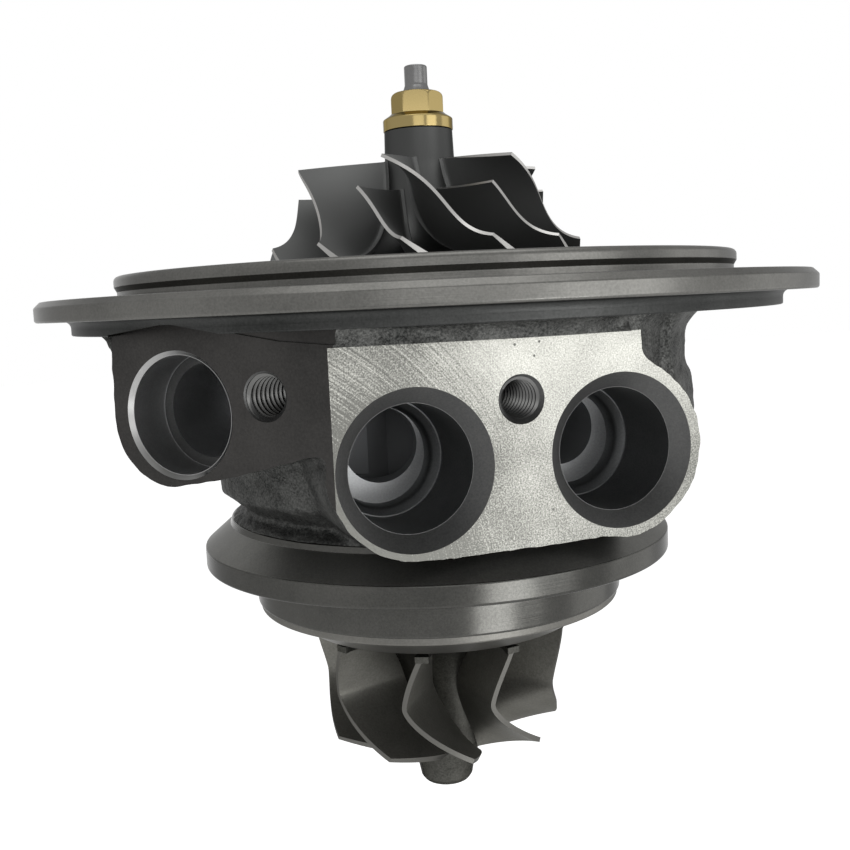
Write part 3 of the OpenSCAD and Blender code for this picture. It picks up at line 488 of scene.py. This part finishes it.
# The side face's mill also cut into the step, in front of the side face. The cut runs out at a
# slant: u grows by its slope times the distance in front of the face.
millIntoStep = dict(outline=[(-28.9, -6.6), (-28.9, -5.4), (-18.8, -4.2), (-16.4, -4.2),
                             (-8.5, -5.62), (-8.5, -6.6)], slope=0.62, front=-16)


def buildFlange():
    f = flange
    loop = roundLoop([
        (f["recessR"], f["recessZ"]), (f["recessR"], f["spigotH"], 0.25),
        (f["spigotR"], f["spigotH"], 0.85), (f["spigotR"], f["grooveHigh"], 0.25),
        (f["spigotR"] - f["grooveD"], f["grooveLow"], 0.3),
        (f["spigotR"] - f["grooveD"], 0, 0.15), (f["r"] - 1.0, 0, 0.4),
        (f["r"], -f["chamfer"], 0.5), (f["r"], -f["t"], 0.45),
        (f["stepR"], -f["t"], f["stepFillet"]), (f["stepR"], f["stepZ"], 0.25),
        (44, f["stepZ"]), (f["plateR"], -6.2), (f["plateR"], f["recessZ"])], 6)
    verts, quads = revolve(loop, 360)
    # Faces below the flange take the step's painted shade
    middles = verts[np.asarray(quads)].mean(1)
    piece = makePiece("flangeFine", (verts, quads), [mats["turned"], mats["step"]],
                      tags=middles[:, 2] < -f["t"] - 0.02, replaced=("bearing_housing",))
    cut, polys = prism(millIntoStep["outline"], millIntoStep["front"], 0.03)
    cut[:, 0] -= millIntoStep["slope"] * cut[:, 2]
    mill = onFace((cut, polys), sideFace["azimuth"], sideFace["distance"])
    machine(piece, [(mill, "side")], 30)


# V-band cone, rim, pilot and the air gap behind the heat shield
turbineEnd = dict(footR=37.4, footZ=-39.6, coneR=37.75, coneZ=-40.6, rimR=42.4, rimZ=-44.45,
                  seatZ=-48, pilotR=33.6, pilotZ=-55.4, pilotWall=4, gapZ=-47.0, bossR=14,
                  bossZ=-53.5, boreR=8.1)


def buildTurbineEnd():
    t = turbineEnd
    inner = t["pilotR"] - t["pilotWall"]
    loop = roundLoop([
        (t["boreR"], -42), (34, -41.2), (t["footR"] - 0.9, t["footZ"]),
        (t["footR"], t["footZ"], 0.2), (t["coneR"], t["coneZ"], 0.3),
        (t["rimR"], t["rimZ"], 0.35), (t["rimR"], t["seatZ"], 0.5), (t["pilotR"], t["seatZ"], 0.3),
        (t["pilotR"], t["pilotZ"], 0.4), (inner, t["pilotZ"], 0.3), (inner, t["gapZ"], 0.5),
        (t["bossR"], t["gapZ"], 0.5), (t["bossR"], t["bossZ"], 0.3), (t["boreR"], t["bossZ"])], 5)
    verts, quads = revolve(loop, 320)
    middle = verts[np.asarray(quads)].mean(1)
    onCone = (middle[:, 2] > t["rimZ"] + 0.3) & (np.hypot(middle[:, 0], middle[:, 1]) > t["coneR"])
    makePiece("turbineEndFine", (verts, quads), [mats["rim"], mats["cone"]], tags=onCone)


# The casting between them, in (radius, height), down to the bores that the ports look into
casting = dict(neckR=44.6, neckFillet=3.4, neckZ=-16, coreR=39, coreZ=-22, waistTop=-34.2,
               waistR=34.3, waistZ=-37.6, topZ=-4.9, inletZ=-29, inletR=9.5, inletD=46,
               proud=2.5, boreLine=[(26.6, -6.6), (17.1, -6.6), (17.1, -11.5), (12.6, -11.5),
                                    (12.6, -14.3), (7.2, -14.3), (7.2, -23.1), (11.6, -23.1),
                                    (11.6, -34.9), (7.2, -34.9), (7.2, -41.6)],
               foot=[(36.4, -41.6), (37.3, -40.4), (37.35, -39.5)], flareEndR=53,
               bulge=[(36, -5.1), (50.6, -5.1), (48.6, -5.9), (47.1, -7.1), (46.2, -8.6),
                      (45.9, -10.2), (45.9, -14.8), (46.9, -17.2), (47.1, -24), (44, -27),
                      (36, -27)],
               bulgeStart=-52, bulgeSweep=72,
               bridge=[(-28.7, -40.7), (-11, -43.3), (0, -30), (-28, -30)], bridgeZ=-12,
               web=[(-16.9, -40.3), (16.9, -40.3), (22, -20), (24.6, -15.5), (22.9, -14.3),
                    (21.4, -13.1), (20.5, -11.6)],
               webTop=[(20.5, -7.7), (-16.9, -7.7)], webEnd=1,
               webTopBehind=[(20.3, -7), (-16.9, -7)], behindStart=0.6, bossEnd=24,
               sideBossEnd=30, filletStart=0.9, filletEnd=16, inletEnd=33, voxel=0.58,
               quickVoxel=1.1, smoothing=0.6, smoothRounds=2.9)


def castProfile():
    c = casting
    line = c["foot"] + [(c["waistR"], c["waistZ"]), (c["coreR"], c["waistTop"]),
                        (c["coreR"], c["coreZ"]), (c["neckR"], c["neckZ"])]
    line += arcPoints(c["neckR"] + c["neckFillet"], flange["stepZ"] - c["neckFillet"],
                      c["neckFillet"], 180, 90)
    return c["boreLine"] + line + [(c["flareEndR"], c["topZ"]), (c["boreLine"][0][0], c["topZ"])]


# Bosses stand a little proud of the plane that their face is milled to. The web between the two
# ports is a little lower in front than behind. The side boss has a round corner, a rising
# underside and a cast fillet, a little behind the milled face, that flares out to the step.
def buildCast():
    c, m, s = casting, mainFace, sideFace
    shapes = [revolve(castProfile(), 180),
              revolve(c["bulge"], 60, c["bulgeStart"], c["bulgeSweep"]),
              prism(c["bridge"], c["bridgeZ"], c["topZ"])]

    def boss(face, outline, front, back):
        shapes.append(onFace(prism(outline, front, back), face["azimuth"], face["distance"]))

    def wholeRound(x, z, r):
        return arcPoints(x, z, r, 0, 355, 71)

    boss(m, wholeRound(-m["portX"], m["portZ"], m["nearBossR"]), -c["proud"], c["bossEnd"])
    boss(m, wholeRound(m["portX"], m["farBossZ"], m["farBossR"]), -c["proud"], c["bossEnd"])
    boss(m, c["web"] + c["webTop"], -c["proud"], c["webEnd"])
    boss(m, c["web"] + c["webTopBehind"], c["behindStart"], c["bossEnd"])
    corner = arcPoints(s["cornerU"], s["cornerZ"], s["cornerR"], 180, 270)
    boss(s, corner + s["bossLine"], -c["proud"], c["sideBossEnd"])
    boss(s, s["filletLine"], c["filletStart"], c["filletEnd"])
    boss(dict(azimuth=135, distance=c["inletD"]), wholeRound(0, c["inletZ"], c["inletR"]), 0,
         c["inletEnd"])
    verts, polys = joinShapes(shapes)
    mesh = bpy.data.meshes.new("housingCast")
    mesh.from_pydata((verts * mm).tolist(), [], polys)
    obj = bpy.data.objects.new("housingCast", mesh)
    bpy.context.scene.collection.objects.link(obj)
    mesh.materials.append(mats["cast"])
    voxel = c["voxel"]
    skin = obj.modifiers.new("skin", "REMESH")
    skin.mode = "VOXEL"
    skin.voxel_size = voxel * mm
    blend = obj.modifiers.new("blend", "SMOOTH")
    blend.factor = c["smoothing"]
    blend.iterations = int(round(c["smoothRounds"] / voxel ** 2))
    freeze(obj)
    roughen(obj.data)
    print("cast skin", len(obj.data.polygons), "faces")
    return obj


# Sand-cast unevenness: slow waves, then shorter ones and a grain, along the normals
def roughen(mesh):
    count = len(mesh.vertices)
    place, normal = np.empty(count * 3), np.empty(count * 3)
    mesh.vertices.foreach_get("co", place)
    mesh.vertices.foreach_get("normal", normal)
    place, normal = place.reshape(-1, 3), normal.reshape(-1, 3)
    points = place / mm
    lift = 0.07 * waves(points, 11, 1) + 0.05 * waves(points, 3.6, 2, 60) \
        + 0.03 * waves(points, 1.8, 3, 90)
    place += normal * lift[:, None] * mm
    mesh.vertices.foreach_set("co", place.ravel())
    mesh.update()


# Stepped round cutter, from well outside a face to its last depth
cutterStart = -6


def boreCutter(line, count=160):
    return revolve([(0, cutterStart), (line[0][0], cutterStart)] + line + [(0, line[-1][1])],
                   count)


# Tap cutter with a real thread. Row i and column k of its grid lie at
# z = first + lead (i / 4 + k / columns), so that each row follows the helix and four rows make one
# turn of the profile. The two ends close in fans to points on the axis.
tap = dict(major=3.5, minor=2.95, lead=1.15, first=-1.3, turns=12, columns=56, tip=1.4)


def tapCutter():
    t = tap
    rows, columns = 4 * t["turns"] + 1, t["columns"]
    i, k = np.meshgrid(np.arange(rows), np.arange(columns), indexing="ij")
    z = t["first"] + t["lead"] * (i / 4 + k / columns)
    r = np.where((i % 4 == 1) | (i % 4 == 2), t["major"], t["minor"])
    a = 2 * math.pi * k / columns
    verts = np.stack([r * np.cos(a), r * np.sin(a), z], -1).reshape(-1, 3)
    index = i * columns + k
    first, last = index[:, 0], index[:, -1]
    seam = np.stack([last[:-5], last[1:-4], first[5:], first[4:-1]], -1).tolist()
    start = index[0].tolist() + first[4:0:-1].tolist()
    end = index[-1].tolist() + last[-2:-6:-1].tolist()
    points = [(0, 0, cutterStart), (0, 0, float(z.max()) + t["tip"])]
    fans = [[loop[n - 1], loop[n], len(verts) + side] for side, loop in enumerate((start, end))
            for n in range(len(loop))]
    return np.vstack([verts, points]), gridQuads(rows, columns).tolist() + seam + fans


# Ports: the way on from a port is not on its middle, so its lower end is a crescent
ports = dict(bevelR=12.2, boreR=9.7, line=[(9.7, 14.8), (9.5, 15.6)],
             seatLine=[(9.3, 15.6), (8.5, 16.4), (8.1, 17.0), (7.9, 19.5)],
             wayR=6.2, wayZ=-25.3, nearShift=0.5, farShift=-1.1, wayEnd=30,
             jacket=[(13.4, -34), (22, -34), (22, -20), (13.4, -20)], jacketStart=214,
             jacketSweep=168, drainBevel=[(9.8, 0), (9.17, 0.63)], drainLine=[(9.1, 0), (9.1, 7.9)],
             drainRing=[(9.03, 7), (9.03, 8)], drainDeep=[(7.5, 7), (7.5, 25)], deepStart=7,
             seatStart=10, bevelGap=0.06, drainWayR=4.6, drainWayL=22, drainWayZ=-29.0,
             inletR=5.0, inletSinkR=5.8, inletL=12)


def faceCutters():
    m, s, p = mainFace, sideFace, ports
    root = math.sqrt(0.5)
    sideIn = np.array([root, root, 0])
    sideAcross = np.array([root, -root, 0])

    def onSide(u, z):
        return sideAcross * u - sideIn * s["distance"] + (0, 0, z)

    mainBox = prism([(-80, -70), (80, -70), (80, -m["distance"]), (-80, -m["distance"])],
                    m["bottom"], m["top"])
    sideBox = onFace(prism([(-60, -60), (60, -60), (60, 0), (-60, 0)], -12, 0), s["azimuth"],
                     s["distance"])
    besideTop = prism([(17.5, -60), (27, -60), (27, -m["distance"]), (17.5, -m["distance"])],
                      m["top"] - 0.01, -6.0)
    overFace = onFace(prism(s["recess"], -14, s["recessD"]), s["azimuth"], s["distance"])
    cutters = [(mainBox, "bright"), (sideBox, "side"), (overFace, "side"), (besideTop, "cast")]
    bevelL = p["bevelR"] - p["boreR"]
    bevelLine = [(p["bevelR"], 0), (p["boreR"] + p["bevelGap"], bevelL - p["bevelGap"])]
    boreLine = [(p["boreR"], 0)] + p["line"]
    for side, shift in ((-1, p["nearShift"]), (1, p["farShift"])):
        place = (side * m["portX"], -m["distance"], m["portZ"])
        cutters.append((along(boreCutter(bevelLine), place, (0, 1, 0)), "bevel"))
        cutters.append((along(boreCutter(boreLine), place, (0, 1, 0)), "bore"))
        seat = revolve([(0, p["seatStart"]), (p["seatLine"][0][0], p["seatStart"])]
                       + p["seatLine"] + [(0, p["seatLine"][-1][1])], 160)
        cutters.append((along(seat, place, (0, 1, 0)), "seat"))
        way = (side * m["portX"] + shift, -m["distance"], p["wayZ"])
        cutters.append((along(boreCutter([(p["wayR"], 0), (p["wayR"], p["wayEnd"])], 96), way,
                              (0, 1, 0)), "way"))
    cutters.append((revolve(p["jacket"], 90, p["jacketStart"], p["jacketSweep"]), "way"))
    for sinkR, place, way in ((m["tapSinkR"], (0, -m["distance"], m["tapZ"]), (0, 1, 0)),
                              (s["tapSinkR"], onSide(s["tapU"], s["tapZ"]), sideIn)):
        sink = boreCutter([(sinkR, 0), (tap["minor"], sinkR - tap["minor"])], 96)
        cutters += [(along(sink, place, way), "bevel"), (along(tapCutter(), place, way), "thread")]
    drain = onSide(s["drainU"], s["drainZ"])
    cutters.append((along(boreCutter(p["drainBevel"]), drain, sideIn), "drainBevel"))
    cutters.append((along(boreCutter(p["drainLine"]), drain, sideIn), "drain"))
    for key, material in (("drainRing", "bevel"), ("drainDeep", "drainDeep")):
        deeper = revolve([(0, p["deepStart"])] + p[key] + [(0, p[key][-1][1])], 128)
        cutters.append((along(deeper, drain, sideIn), material))
    drainEnd = drain + sideIn * p["drainDeep"][-1][1]
    way = np.array([0, 0, p["drainWayZ"]]) - drainEnd
    start = drainEnd - way / np.linalg.norm(way) * 2
    drill = revolve([(0, 0), (p["drainWayR"], 0), (p["drainWayR"], p["drainWayL"]),
                     (0, p["drainWayL"])], 64)
    cutters.append((along(drill, start, way), "drainDeep"))
    inlet = (root * casting["inletD"], root * casting["inletD"], casting["inletZ"])
    cutters.append((along(boreCutter([(p["inletSinkR"], 0),
                                      (p["inletR"], p["inletSinkR"] - p["inletR"]),
                                      (p["inletR"], p["inletL"])], 96), inlet, -sideIn), "bore"))
    return cutters


def buildHousing():
    buildFlange()
    buildTurbineEnd()
    cast = buildCast()
    machine(cast, faceCutters())
    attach(cast, "housing")
    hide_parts("bearing_housing")
    print("housing made", len(cast.data.polygons), "faces")


buildHousing()


# Cubic curve through the first and last of four points
def bezier(p, t):
    p = np.asarray(p, float)
    t = np.asarray(t, float)[..., None]
    return ((1 - t) ** 3 * p[0] + 3 * t * (1 - t) ** 2 * p[1] + 3 * t * t * (1 - t) * p[2]
            + t ** 3 * p[3])


# A closed blade: its middle surface point(t, s), with t from inlet to outlet and s from root to
# tip, moved half the thickness both ways along its normal. Tag 1 is its thin edges, 2 the rest.
def bladeShell(point, thickness, startOf, rows, columns):
    s = np.tile(np.asarray(columns, float), (rows, 1))
    start = startOf(s)
    t = start + (1 - start) * np.linspace(0, 1, rows)[:, None]
    step = 1e-3
    dt = point(np.minimum(t + step, 1), s) - point(np.maximum(t - step, 0), s)
    ds = point(t, s + step) - point(t, s - step)
    normal = np.cross(dt, ds)
    normal /= np.linalg.norm(normal, axis=-1, keepdims=True)
    half = thickness(t, s)[..., None] / 2
    middle = point(t, s)
    verts = np.vstack([(middle + normal * half).reshape(-1, 3),
                       (middle - normal * half).reshape(-1, 3)])
    count = rows * len(columns)
    skin = gridQuads(rows, len(columns))
    index = np.arange(count).reshape(rows, -1)

    def rim(line):
        return np.stack([line[:-1], line[1:], line[1:] + count, line[:-1] + count], -1)

    root, edges = rim(index[:, 0]), [rim(index[:, -1]), rim(index[0]), rim(index[-1])]
    polys = np.vstack([skin, skin[:, ::-1] + count, root] + edges)
    tags = np.full(len(polys), 2)
    tags[-sum(len(e) for e in edges):] = 1
    return verts, polys.tolist(), tags


def turned(verts, degrees):
    a = math.radians(degrees)
    return verts @ np.array([[math.cos(a), math.sin(a), 0], [-math.sin(a), math.cos(a), 0],
                             [0, 0, 1]])


# Extra half thickness of a blade near its root, as a fillet of that radius gives
def filletFlare(distance, radius):
    gap = np.clip(radius - distance, 0, radius)
    return radius - np.sqrt(radius ** 2 - gap ** 2)


# Joins a hub with its blades, and keeps the tags of the blades' edges
def makeWheel(name, shapes, blades, turn, **more):
    verts, polys = joinShapes(shapes + [b[:2] for b in blades])
    plain = sum(len(s[1]) for s in shapes)
    tags = np.concatenate([np.zeros(plain, int)] + [b[2] for b in blades])
    return makePiece(name, (turned(verts, turn), polys), tags=tags, body="rotor", **more)


compressor = dict(
    blades=6, phase=3.5, hubLine=[(6.3, 22.3), (6.6, 9.0), (12.0, 4.2), (28.2, 4.0)],
    tipLine=[(22.0, 21.0), (22.0, 13.5), (22.6, 8.2), (28.2, 7.4)], tipWrap=39.2, fastShare=0.44,
    outletLean=9.3, rootT=1.25, tipT=0.55, rootFillet=0.7, splitterRoot=0.15, splitterTip=0.22,
    backLine=[(28.2, 2.9, 0.2), (9, 0.9), (7.2, 0.9), (7.2, -0.6), (2.52, -0.6)], boreR=2.52,
    top=27.7, topR=6.0, topRound=0.3, neck=(6.25, 22.6),
    columns=[-0.06, 0, 0.015, 0.03, 0.05, 0.08, 0.12, 0.18, 0.26, 0.36, 0.48, 0.6, 0.72, 0.84,
             0.93, 1.0])


# The angle falls from the tip's outlet corner back to the inlet, faster at first along the hub
def compressorPoint(t, s):
    c = compressor
    h = bezier(c["hubLine"], t)
    p = h + (bezier(c["tipLine"], t) - h) * s[..., None]
    tip = -c["tipWrap"] * ((1 - c["fastShare"]) * (1 - t) + c["fastShare"] * (1 - t) ** 6)
    hub = -c["tipWrap"] + (c["tipWrap"] + c["outletLean"]) * (1 - (1 - t) ** 1.3)
    a = np.radians(hub + (tip - hub) * np.clip(s, 0, None))
    return np.stack([p[..., 0] * np.cos(a), p[..., 0] * np.sin(a), p[..., 1]], -1)


def compressorThickness(t, s):
    c = compressor
    span = np.linalg.norm(bezier(c["tipLine"], t) - bezier(c["hubLine"], t), axis=-1)
    s = np.clip(s, 0, 1)
    return c["rootT"] + (c["tipT"] - c["rootT"]) * s ** 0.6 \
        + 2 * filletFlare(s * span, c["rootFillet"])


def buildCompressor():
    c = compressor
    rows = 48
    line = [tuple(p) for p in bezier(c["hubLine"], np.linspace(0, 1, 40))]
    hub = roundLoop(c["backLine"] + [(c["boreR"], c["top"]), (c["topR"], c["top"], c["topRound"])])
    hub += [c["neck"]] + line
    pitch = 360 / c["blades"]
    starts = ((0, lambda s: 0 * s),
              (pitch / 2, lambda s: c["splitterRoot"]
               + (c["splitterTip"] - c["splitterRoot"]) * np.clip(s, 0, 1)))
    blades = []
    for shift, startOf in starts:
        v, polys, tags = bladeShell(compressorPoint, compressorThickness, startOf, rows,
                                    c["columns"])
        blades += [(turned(v, pitch * k + shift), polys, tags) for k in range(c["blades"])]
    makeWheel("compressorFine", [revolve(hub, 220)], blades, c["phase"] - 90,
              materials=[mats["wheelHub"], mats["wheelEdgePaintedHighlight"], mats["wheel"]], slot="wheel_alloy",
              replaced=("compressor_wheel",))


discZ = -61.8
turbine = dict(
    blades=9, phase=-37.5, r=23.5, discT=1.1, land=2.6, scallopRoot=15.5, inletH=9.9,
    inletLean=9.5, exitTurn=30.5, rootT=2.0, tipT=0.85, shaftHubR=8.0, hubTopZ=-46.5,
    backR=15.4, backRise=0.7, noseH=31.8, noseR=4.2, noseRound=0.9, noseSideR=4.9,
    noseSideH=1.0, noseFootR=5.6, noseFootZ=discZ - 27.2,
    tipLine=[(23.48, discZ - 0.55), (23.48, discZ - 5.0), (21.9, discZ - 8.9),
             (21.3, discZ - 19.8)],
    rootLine=[(13.0, discZ - 0.55), (8.5, discZ - 2.6), (6.5, discZ - 10.3),
              (5.4, discZ - 25.2)],
    hubLine=[(15.5, discZ - 1.1), (11.5, discZ - 1.8), (7.4, discZ - 8.7),
             (6.2, discZ - 25.7)])


# The blade's angle depends on the height alone, and grows both ways from its straight middle
def turbineAngle(z):
    d = (discZ - turbine["inletH"] - z) / turbine["inletH"]
    return np.where(d > 0, turbine["exitTurn"] * np.abs(d) ** 1.6,
                    turbine["inletLean"] * np.abs(d) ** 1.3)


def turbinePoint(t, s):
    h = bezier(turbine["rootLine"], t)
    p = h + (bezier(turbine["tipLine"], t) - h) * s[..., None]
    a = np.radians(turbineAngle(p[..., 1]))
    return np.stack([p[..., 0] * np.cos(a), p[..., 0] * np.sin(a), p[..., 1]], -1)


def turbineThickness(t, s):
    return turbine["rootT"] + (turbine["tipT"] - turbine["rootT"]) * np.clip(s, 0, 1) ** 0.8


# Outline of the back disc: lands of full radius behind the blades, and an arc between each two
def scallopOutline(topAngle):
    b = turbine
    pitch = 360 / b["blades"]
    half = math.radians(pitch / 2)
    chordX, chordY = b["r"] * math.cos(half), b["r"] * math.sin(half) - b["land"] / 2
    arcR = ((chordX - b["scallopRoot"]) ** 2 + chordY ** 2) / (2 * (chordX - b["scallopRoot"]))
    centre = b["scallopRoot"] + arcR
    spread = math.degrees(math.atan2(chordY, centre - chordX))
    landHalf = math.degrees(b["land"] / 2 / b["r"])
    arc = np.array(arcPoints(centre, 0, arcR, 180 + spread, 180 - spread, 24))
    land = np.array(arcPoints(0, 0, b["r"], pitch / 2 - landHalf * 0.9, pitch / 2 + landHalf * 0.9,
                              3))
    one = np.column_stack([np.vstack([arc, land]), np.zeros(len(arc) + len(land))])
    return np.vstack([turned(one, topAngle + pitch * (k + 0.5)) for k in range(b["blades"])])[:, :2]


def buildTurbine():
    b = turbine
    rows = 44
    disc = prism(scallopOutline(float(turbineAngle(np.array(discZ)))), discZ - b["discT"], discZ)
    noseZ = discZ - b["noseH"]
    line = [tuple(p) for p in bezier(b["hubLine"], np.linspace(0, 1, 30))]
    hub = roundLoop([(b["backR"], discZ), (b["shaftHubR"], discZ + b["backRise"], 0.4),
                     (b["shaftHubR"], b["hubTopZ"]), (0, b["hubTopZ"]), (0, noseZ),
                     (b["noseR"], noseZ, b["noseRound"]),
                     (b["noseSideR"], noseZ + b["noseSideH"], 0.4),
                     (b["noseFootR"], b["noseFootZ"])], 5) + line[::-1]
    v, polys, tags = bladeShell(turbinePoint, turbineThickness, lambda s: 0 * s, rows,
                                np.linspace(0, 1, 14))
    blades = [(turned(v, 360 / b["blades"] * k), polys, tags) for k in range(b["blades"])]
    makeWheel("turbineFine", [revolve(hub, 180), disc], blades, b["phase"] - 90,
              materials=[mats["turbineHub"], mats["turbineEdgePaintedLight"], mats["turbine"]],
              slot="turbine_alloy", replaced=("turbine_wheel",))


buildCompressor()
buildTurbine()
print("wheels made")


# Nut: a round collar, a cone up to a hexagon, and a rounded top. The hexagon's radius at an
# angle is its flat's distance over the cosine of the angle from the flat's middle.
nut = dict(collarR=6.25, low=27.7, collarTop=29.7, shoulderR=4.9, shoulderTop=30.6, hexR=4.65,
           hexOut=0.4, turn=-22.5, top=34.4, topR=3.75, topRound=0.9, boreR=2.52)
stub = dict(journalR=4.0, shoulderZ=-10.2, boreR=2.5, flareStart=34.5, flareTop=35.7,
            flareRound=1.2, r=2.05, top=39.1, edge=0.3)


def buildNut():
    n = nut
    steps = 12
    collar = roundLoop([(n["boreR"], n["low"]), (n["collarR"], n["low"], 0.15),
                        (n["collarR"], n["collarTop"], 0.3),
                        (n["shoulderR"], n["shoulderTop"], 0.2),
                        (n["hexR"] + n["hexOut"], n["top"] - n["topRound"])], 5)[1:]
    shoulder = arcPoints(n["topR"], n["top"] - n["topRound"], n["hexR"] - n["topR"], 20, 90, steps)
    line = np.array(collar + shoulder)
    a = np.radians(np.arange(0, 360, 1.5))
    fromFlat = (np.degrees(a) - n["turn"]) % 60 - 30
    flat = n["hexR"] * math.cos(math.radians(30)) / np.cos(np.radians(fromFlat))
    isHex = line[:, 1] > n["collarTop"]
    r = np.where(isHex[None, :], np.minimum(line[None, :, 0], flat[:, None]), line[None, :, 0])
    shoulderCone = (line[:, 1] > n["collarTop"]) & (line[:, 1] < n["shoulderTop"] + 0.05)
    r[:, shoulderCone] = line[None, shoulderCone, 0]
    ends = np.full((len(a), 1), n["boreR"])
    r = np.hstack([ends, r, ends])
    z = np.concatenate([[n["low"]], line[:, 1], [n["top"]]])
    verts = np.stack([r * np.cos(a)[:, None], r * np.sin(a)[:, None], np.tile(z, (len(a), 1))], -1)
    makePiece("nutFine", (verts.reshape(-1, 3), gridQuads(len(a), len(z), True, True).tolist()),
              [mats["gold"]], body="rotor", slot="nut_plating", replaced=("shaft_nut",))


def buildShaft():
    t = stub
    low = float(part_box("shaft")[0][2]) / mm
    loop = roundLoop([(0, low), (t["journalR"], low), (t["journalR"], t["shoulderZ"], 0.1),
                      (t["boreR"], t["shoulderZ"]), (t["boreR"], t["flareStart"]),
                      (t["r"], t["flareTop"], t["flareRound"]), (t["r"], t["top"], t["edge"]),
                      (0, t["top"])], 5)
    makePiece("shaftFine", revolve(loop, 96), [mats["steel"]], body="rotor", slot="steel",
              replaced=("shaft",))


# Heat shield: a pressed sheet cup whose lip shows as a thin line at the end of the pilot
shield = dict(r=33.12, lip=1.3, sheet=0.8, holeR=9.2, floorR=25.6, floorZ=-60.5)


def buildShield():
    s, end = shield, turbineEnd["pilotZ"]
    loop = roundLoop([
        (s["holeR"], s["floorZ"]), (s["floorR"], s["floorZ"], 1.0),
        (s["r"] - s["lip"], end - s["lip"], 0.6), (s["r"], end - s["lip"], 0.35), (s["r"], end),
        (s["r"] - 2 * s["lip"], end), (s["floorR"] - s["sheet"] / 2, s["floorZ"] + s["sheet"], 1.0),
        (s["holeR"], s["floorZ"] + s["sheet"])], 5)
    makePiece("shieldFine", revolve(loop, 256), [mats["shield"]], slot="steel",
              replaced=("heat_shield",))


buildNut()
buildShaft()
buildShield()
print("nut, shaft and shield made")

# Pieces that stay as the frame has them, with the material that each is made of
looks = {"seal_plate": "turned", "seal_plate_o_ring": "rubber", "seal_plate_screws": "steel",
         "compressor_seal_ring": "steel", "flinger_sleeve": "steel", "thrust_collar": "steel",
         "thrust_washer": "steel", "thrust_bearing": "bronze", "thrust_bearing_pins": "steel",
         "oil_deflector": "steel", "compressor_side_bush": "bronze",
         "turbine_side_bush": "bronze", "bush_snap_rings": "steel",
         "turbine_seal_ring": "steel"}
for name, look in looks.items():
    data = nodes[name].data
    data.materials.clear()
    data.materials.append(mats[look])

# Soft lamps: azimuth to the right of the camera's own direction, elevation, width and height of
# the panel in metres, and power. A panel's brightness is its power over pi and its area.
lamps = dict(distance=0.6, aimZ=-0.025, panels={
    "lightRight": (46, -1, 0.36, 0.36, 1.1),
    "lightLow": (32, -18, 0.23, 0.15, 0.68),
    "lightFarRight": (104, -4, 0.4, 0.5, 0.6),
    "lightLeft": (-150, 6, 0.4, 0.4, 0.25),
    "lightFront": (3, 9, 0.36, 0.15, 0.3),
    "lightTop": (15, 76, 0.6, 0.5, 1.6)})


def softBox(name, azimuth, elevation, width, height, power):
    a, e = math.radians(azimuth), math.radians(elevation)
    spot = fromCameraFrame((math.sin(a) * math.cos(e), -math.cos(a) * math.cos(e), math.sin(e)))
    data = bpy.data.lights.new(name, "AREA")
    data.shape = "RECTANGLE"
    data.size, data.size_y, data.energy = width, height, power
    obj = bpy.data.objects.new(name, data)
    bpy.context.scene.collection.objects.link(obj)
    obj.location = Vector((0, 0, lamps["aimZ"])) + spot * lamps["distance"]
    obj.rotation_mode = "QUATERNION"
    obj.rotation_quaternion = spot.to_track_quat("Z", "Y")


for name, panel in lamps["panels"].items():
    softBox(name, *panel)

# Stage: the world is white to the camera and in reflections, and a plain grey for all else. The
# floor glows on those same rays, by as much as its own shading lacks of white.
stage = dict(floorZ=-0.36, size=6.0, floorTone=0.8, floorGlow=0.78, worldGrey=0.35)


def whiteRays(tree):
    path = tree.nodes.new("ShaderNodeLightPath")
    found = path.outputs["Is Camera Ray"]
    for kind in ("Is Glossy Ray", "Is Transmission Ray"):
        either = tree.nodes.new("ShaderNodeMath")
        either.operation = "MAXIMUM"
        tree.links.new(found, either.inputs[0])
        tree.links.new(path.outputs[kind], either.inputs[1])
        found = either.outputs["Value"]
    return found


def makeFloor():
    g, z = stage["size"], stage["floorZ"]
    mesh = bpy.data.meshes.new("floor")
    mesh.from_pydata([(-g, -g, z), (g, -g, z), (g, g, z), (-g, g, z)], [], [(0, 1, 2, 3)])
    obj = bpy.data.objects.new("floor", mesh)
    bpy.context.scene.collection.objects.link(obj)
    m = newMaterial("floorPale", (stage["floorTone"],) * 3, metallic=0.0, roughness=0.9)
    tree = m.node_tree
    glow = node(m, "ShaderNodeEmission")
    glow.inputs["Color"].default_value = (1, 1, 1, 1)
    wire(m, combine(m, "MULTIPLY", whiteRays(tree), stage["floorGlow"]), glow.inputs["Strength"])
    both = node(m, "ShaderNodeAddShader")
    wire(m, shader(m).outputs["BSDF"], both.inputs[0])
    wire(m, glow.outputs["Emission"], both.inputs[1])
    wire(m, both.outputs["Shader"], tree.nodes["Material Output"].inputs["Surface"])
    mesh.materials.append(m)


def makeWorld():
    world = bpy.data.worlds.new("studio")
    bpy.context.scene.world = world
    world.use_nodes = True
    tree = world.node_tree
    grey = tree.nodes["Background"]
    grey.inputs["Color"].default_value = (1, 1, 1, 1)
    grey.inputs["Strength"].default_value = stage["worldGrey"]
    white = tree.nodes.new("ShaderNodeBackground")
    white.inputs["Color"].default_value = (1, 1, 1, 1)
    choose = tree.nodes.new("ShaderNodeMixShader")
    tree.links.new(whiteRays(tree), choose.inputs["Fac"])
    tree.links.new(grey.outputs["Background"], choose.inputs[1])
    tree.links.new(white.outputs["Background"], choose.inputs[2])
    tree.links.new(choose.outputs["Shader"], tree.nodes["World Output"].inputs["Surface"])


makeFloor()
makeWorld()
bpy.context.scene.view_settings.view_transform = "Standard"
print("stage and light made")
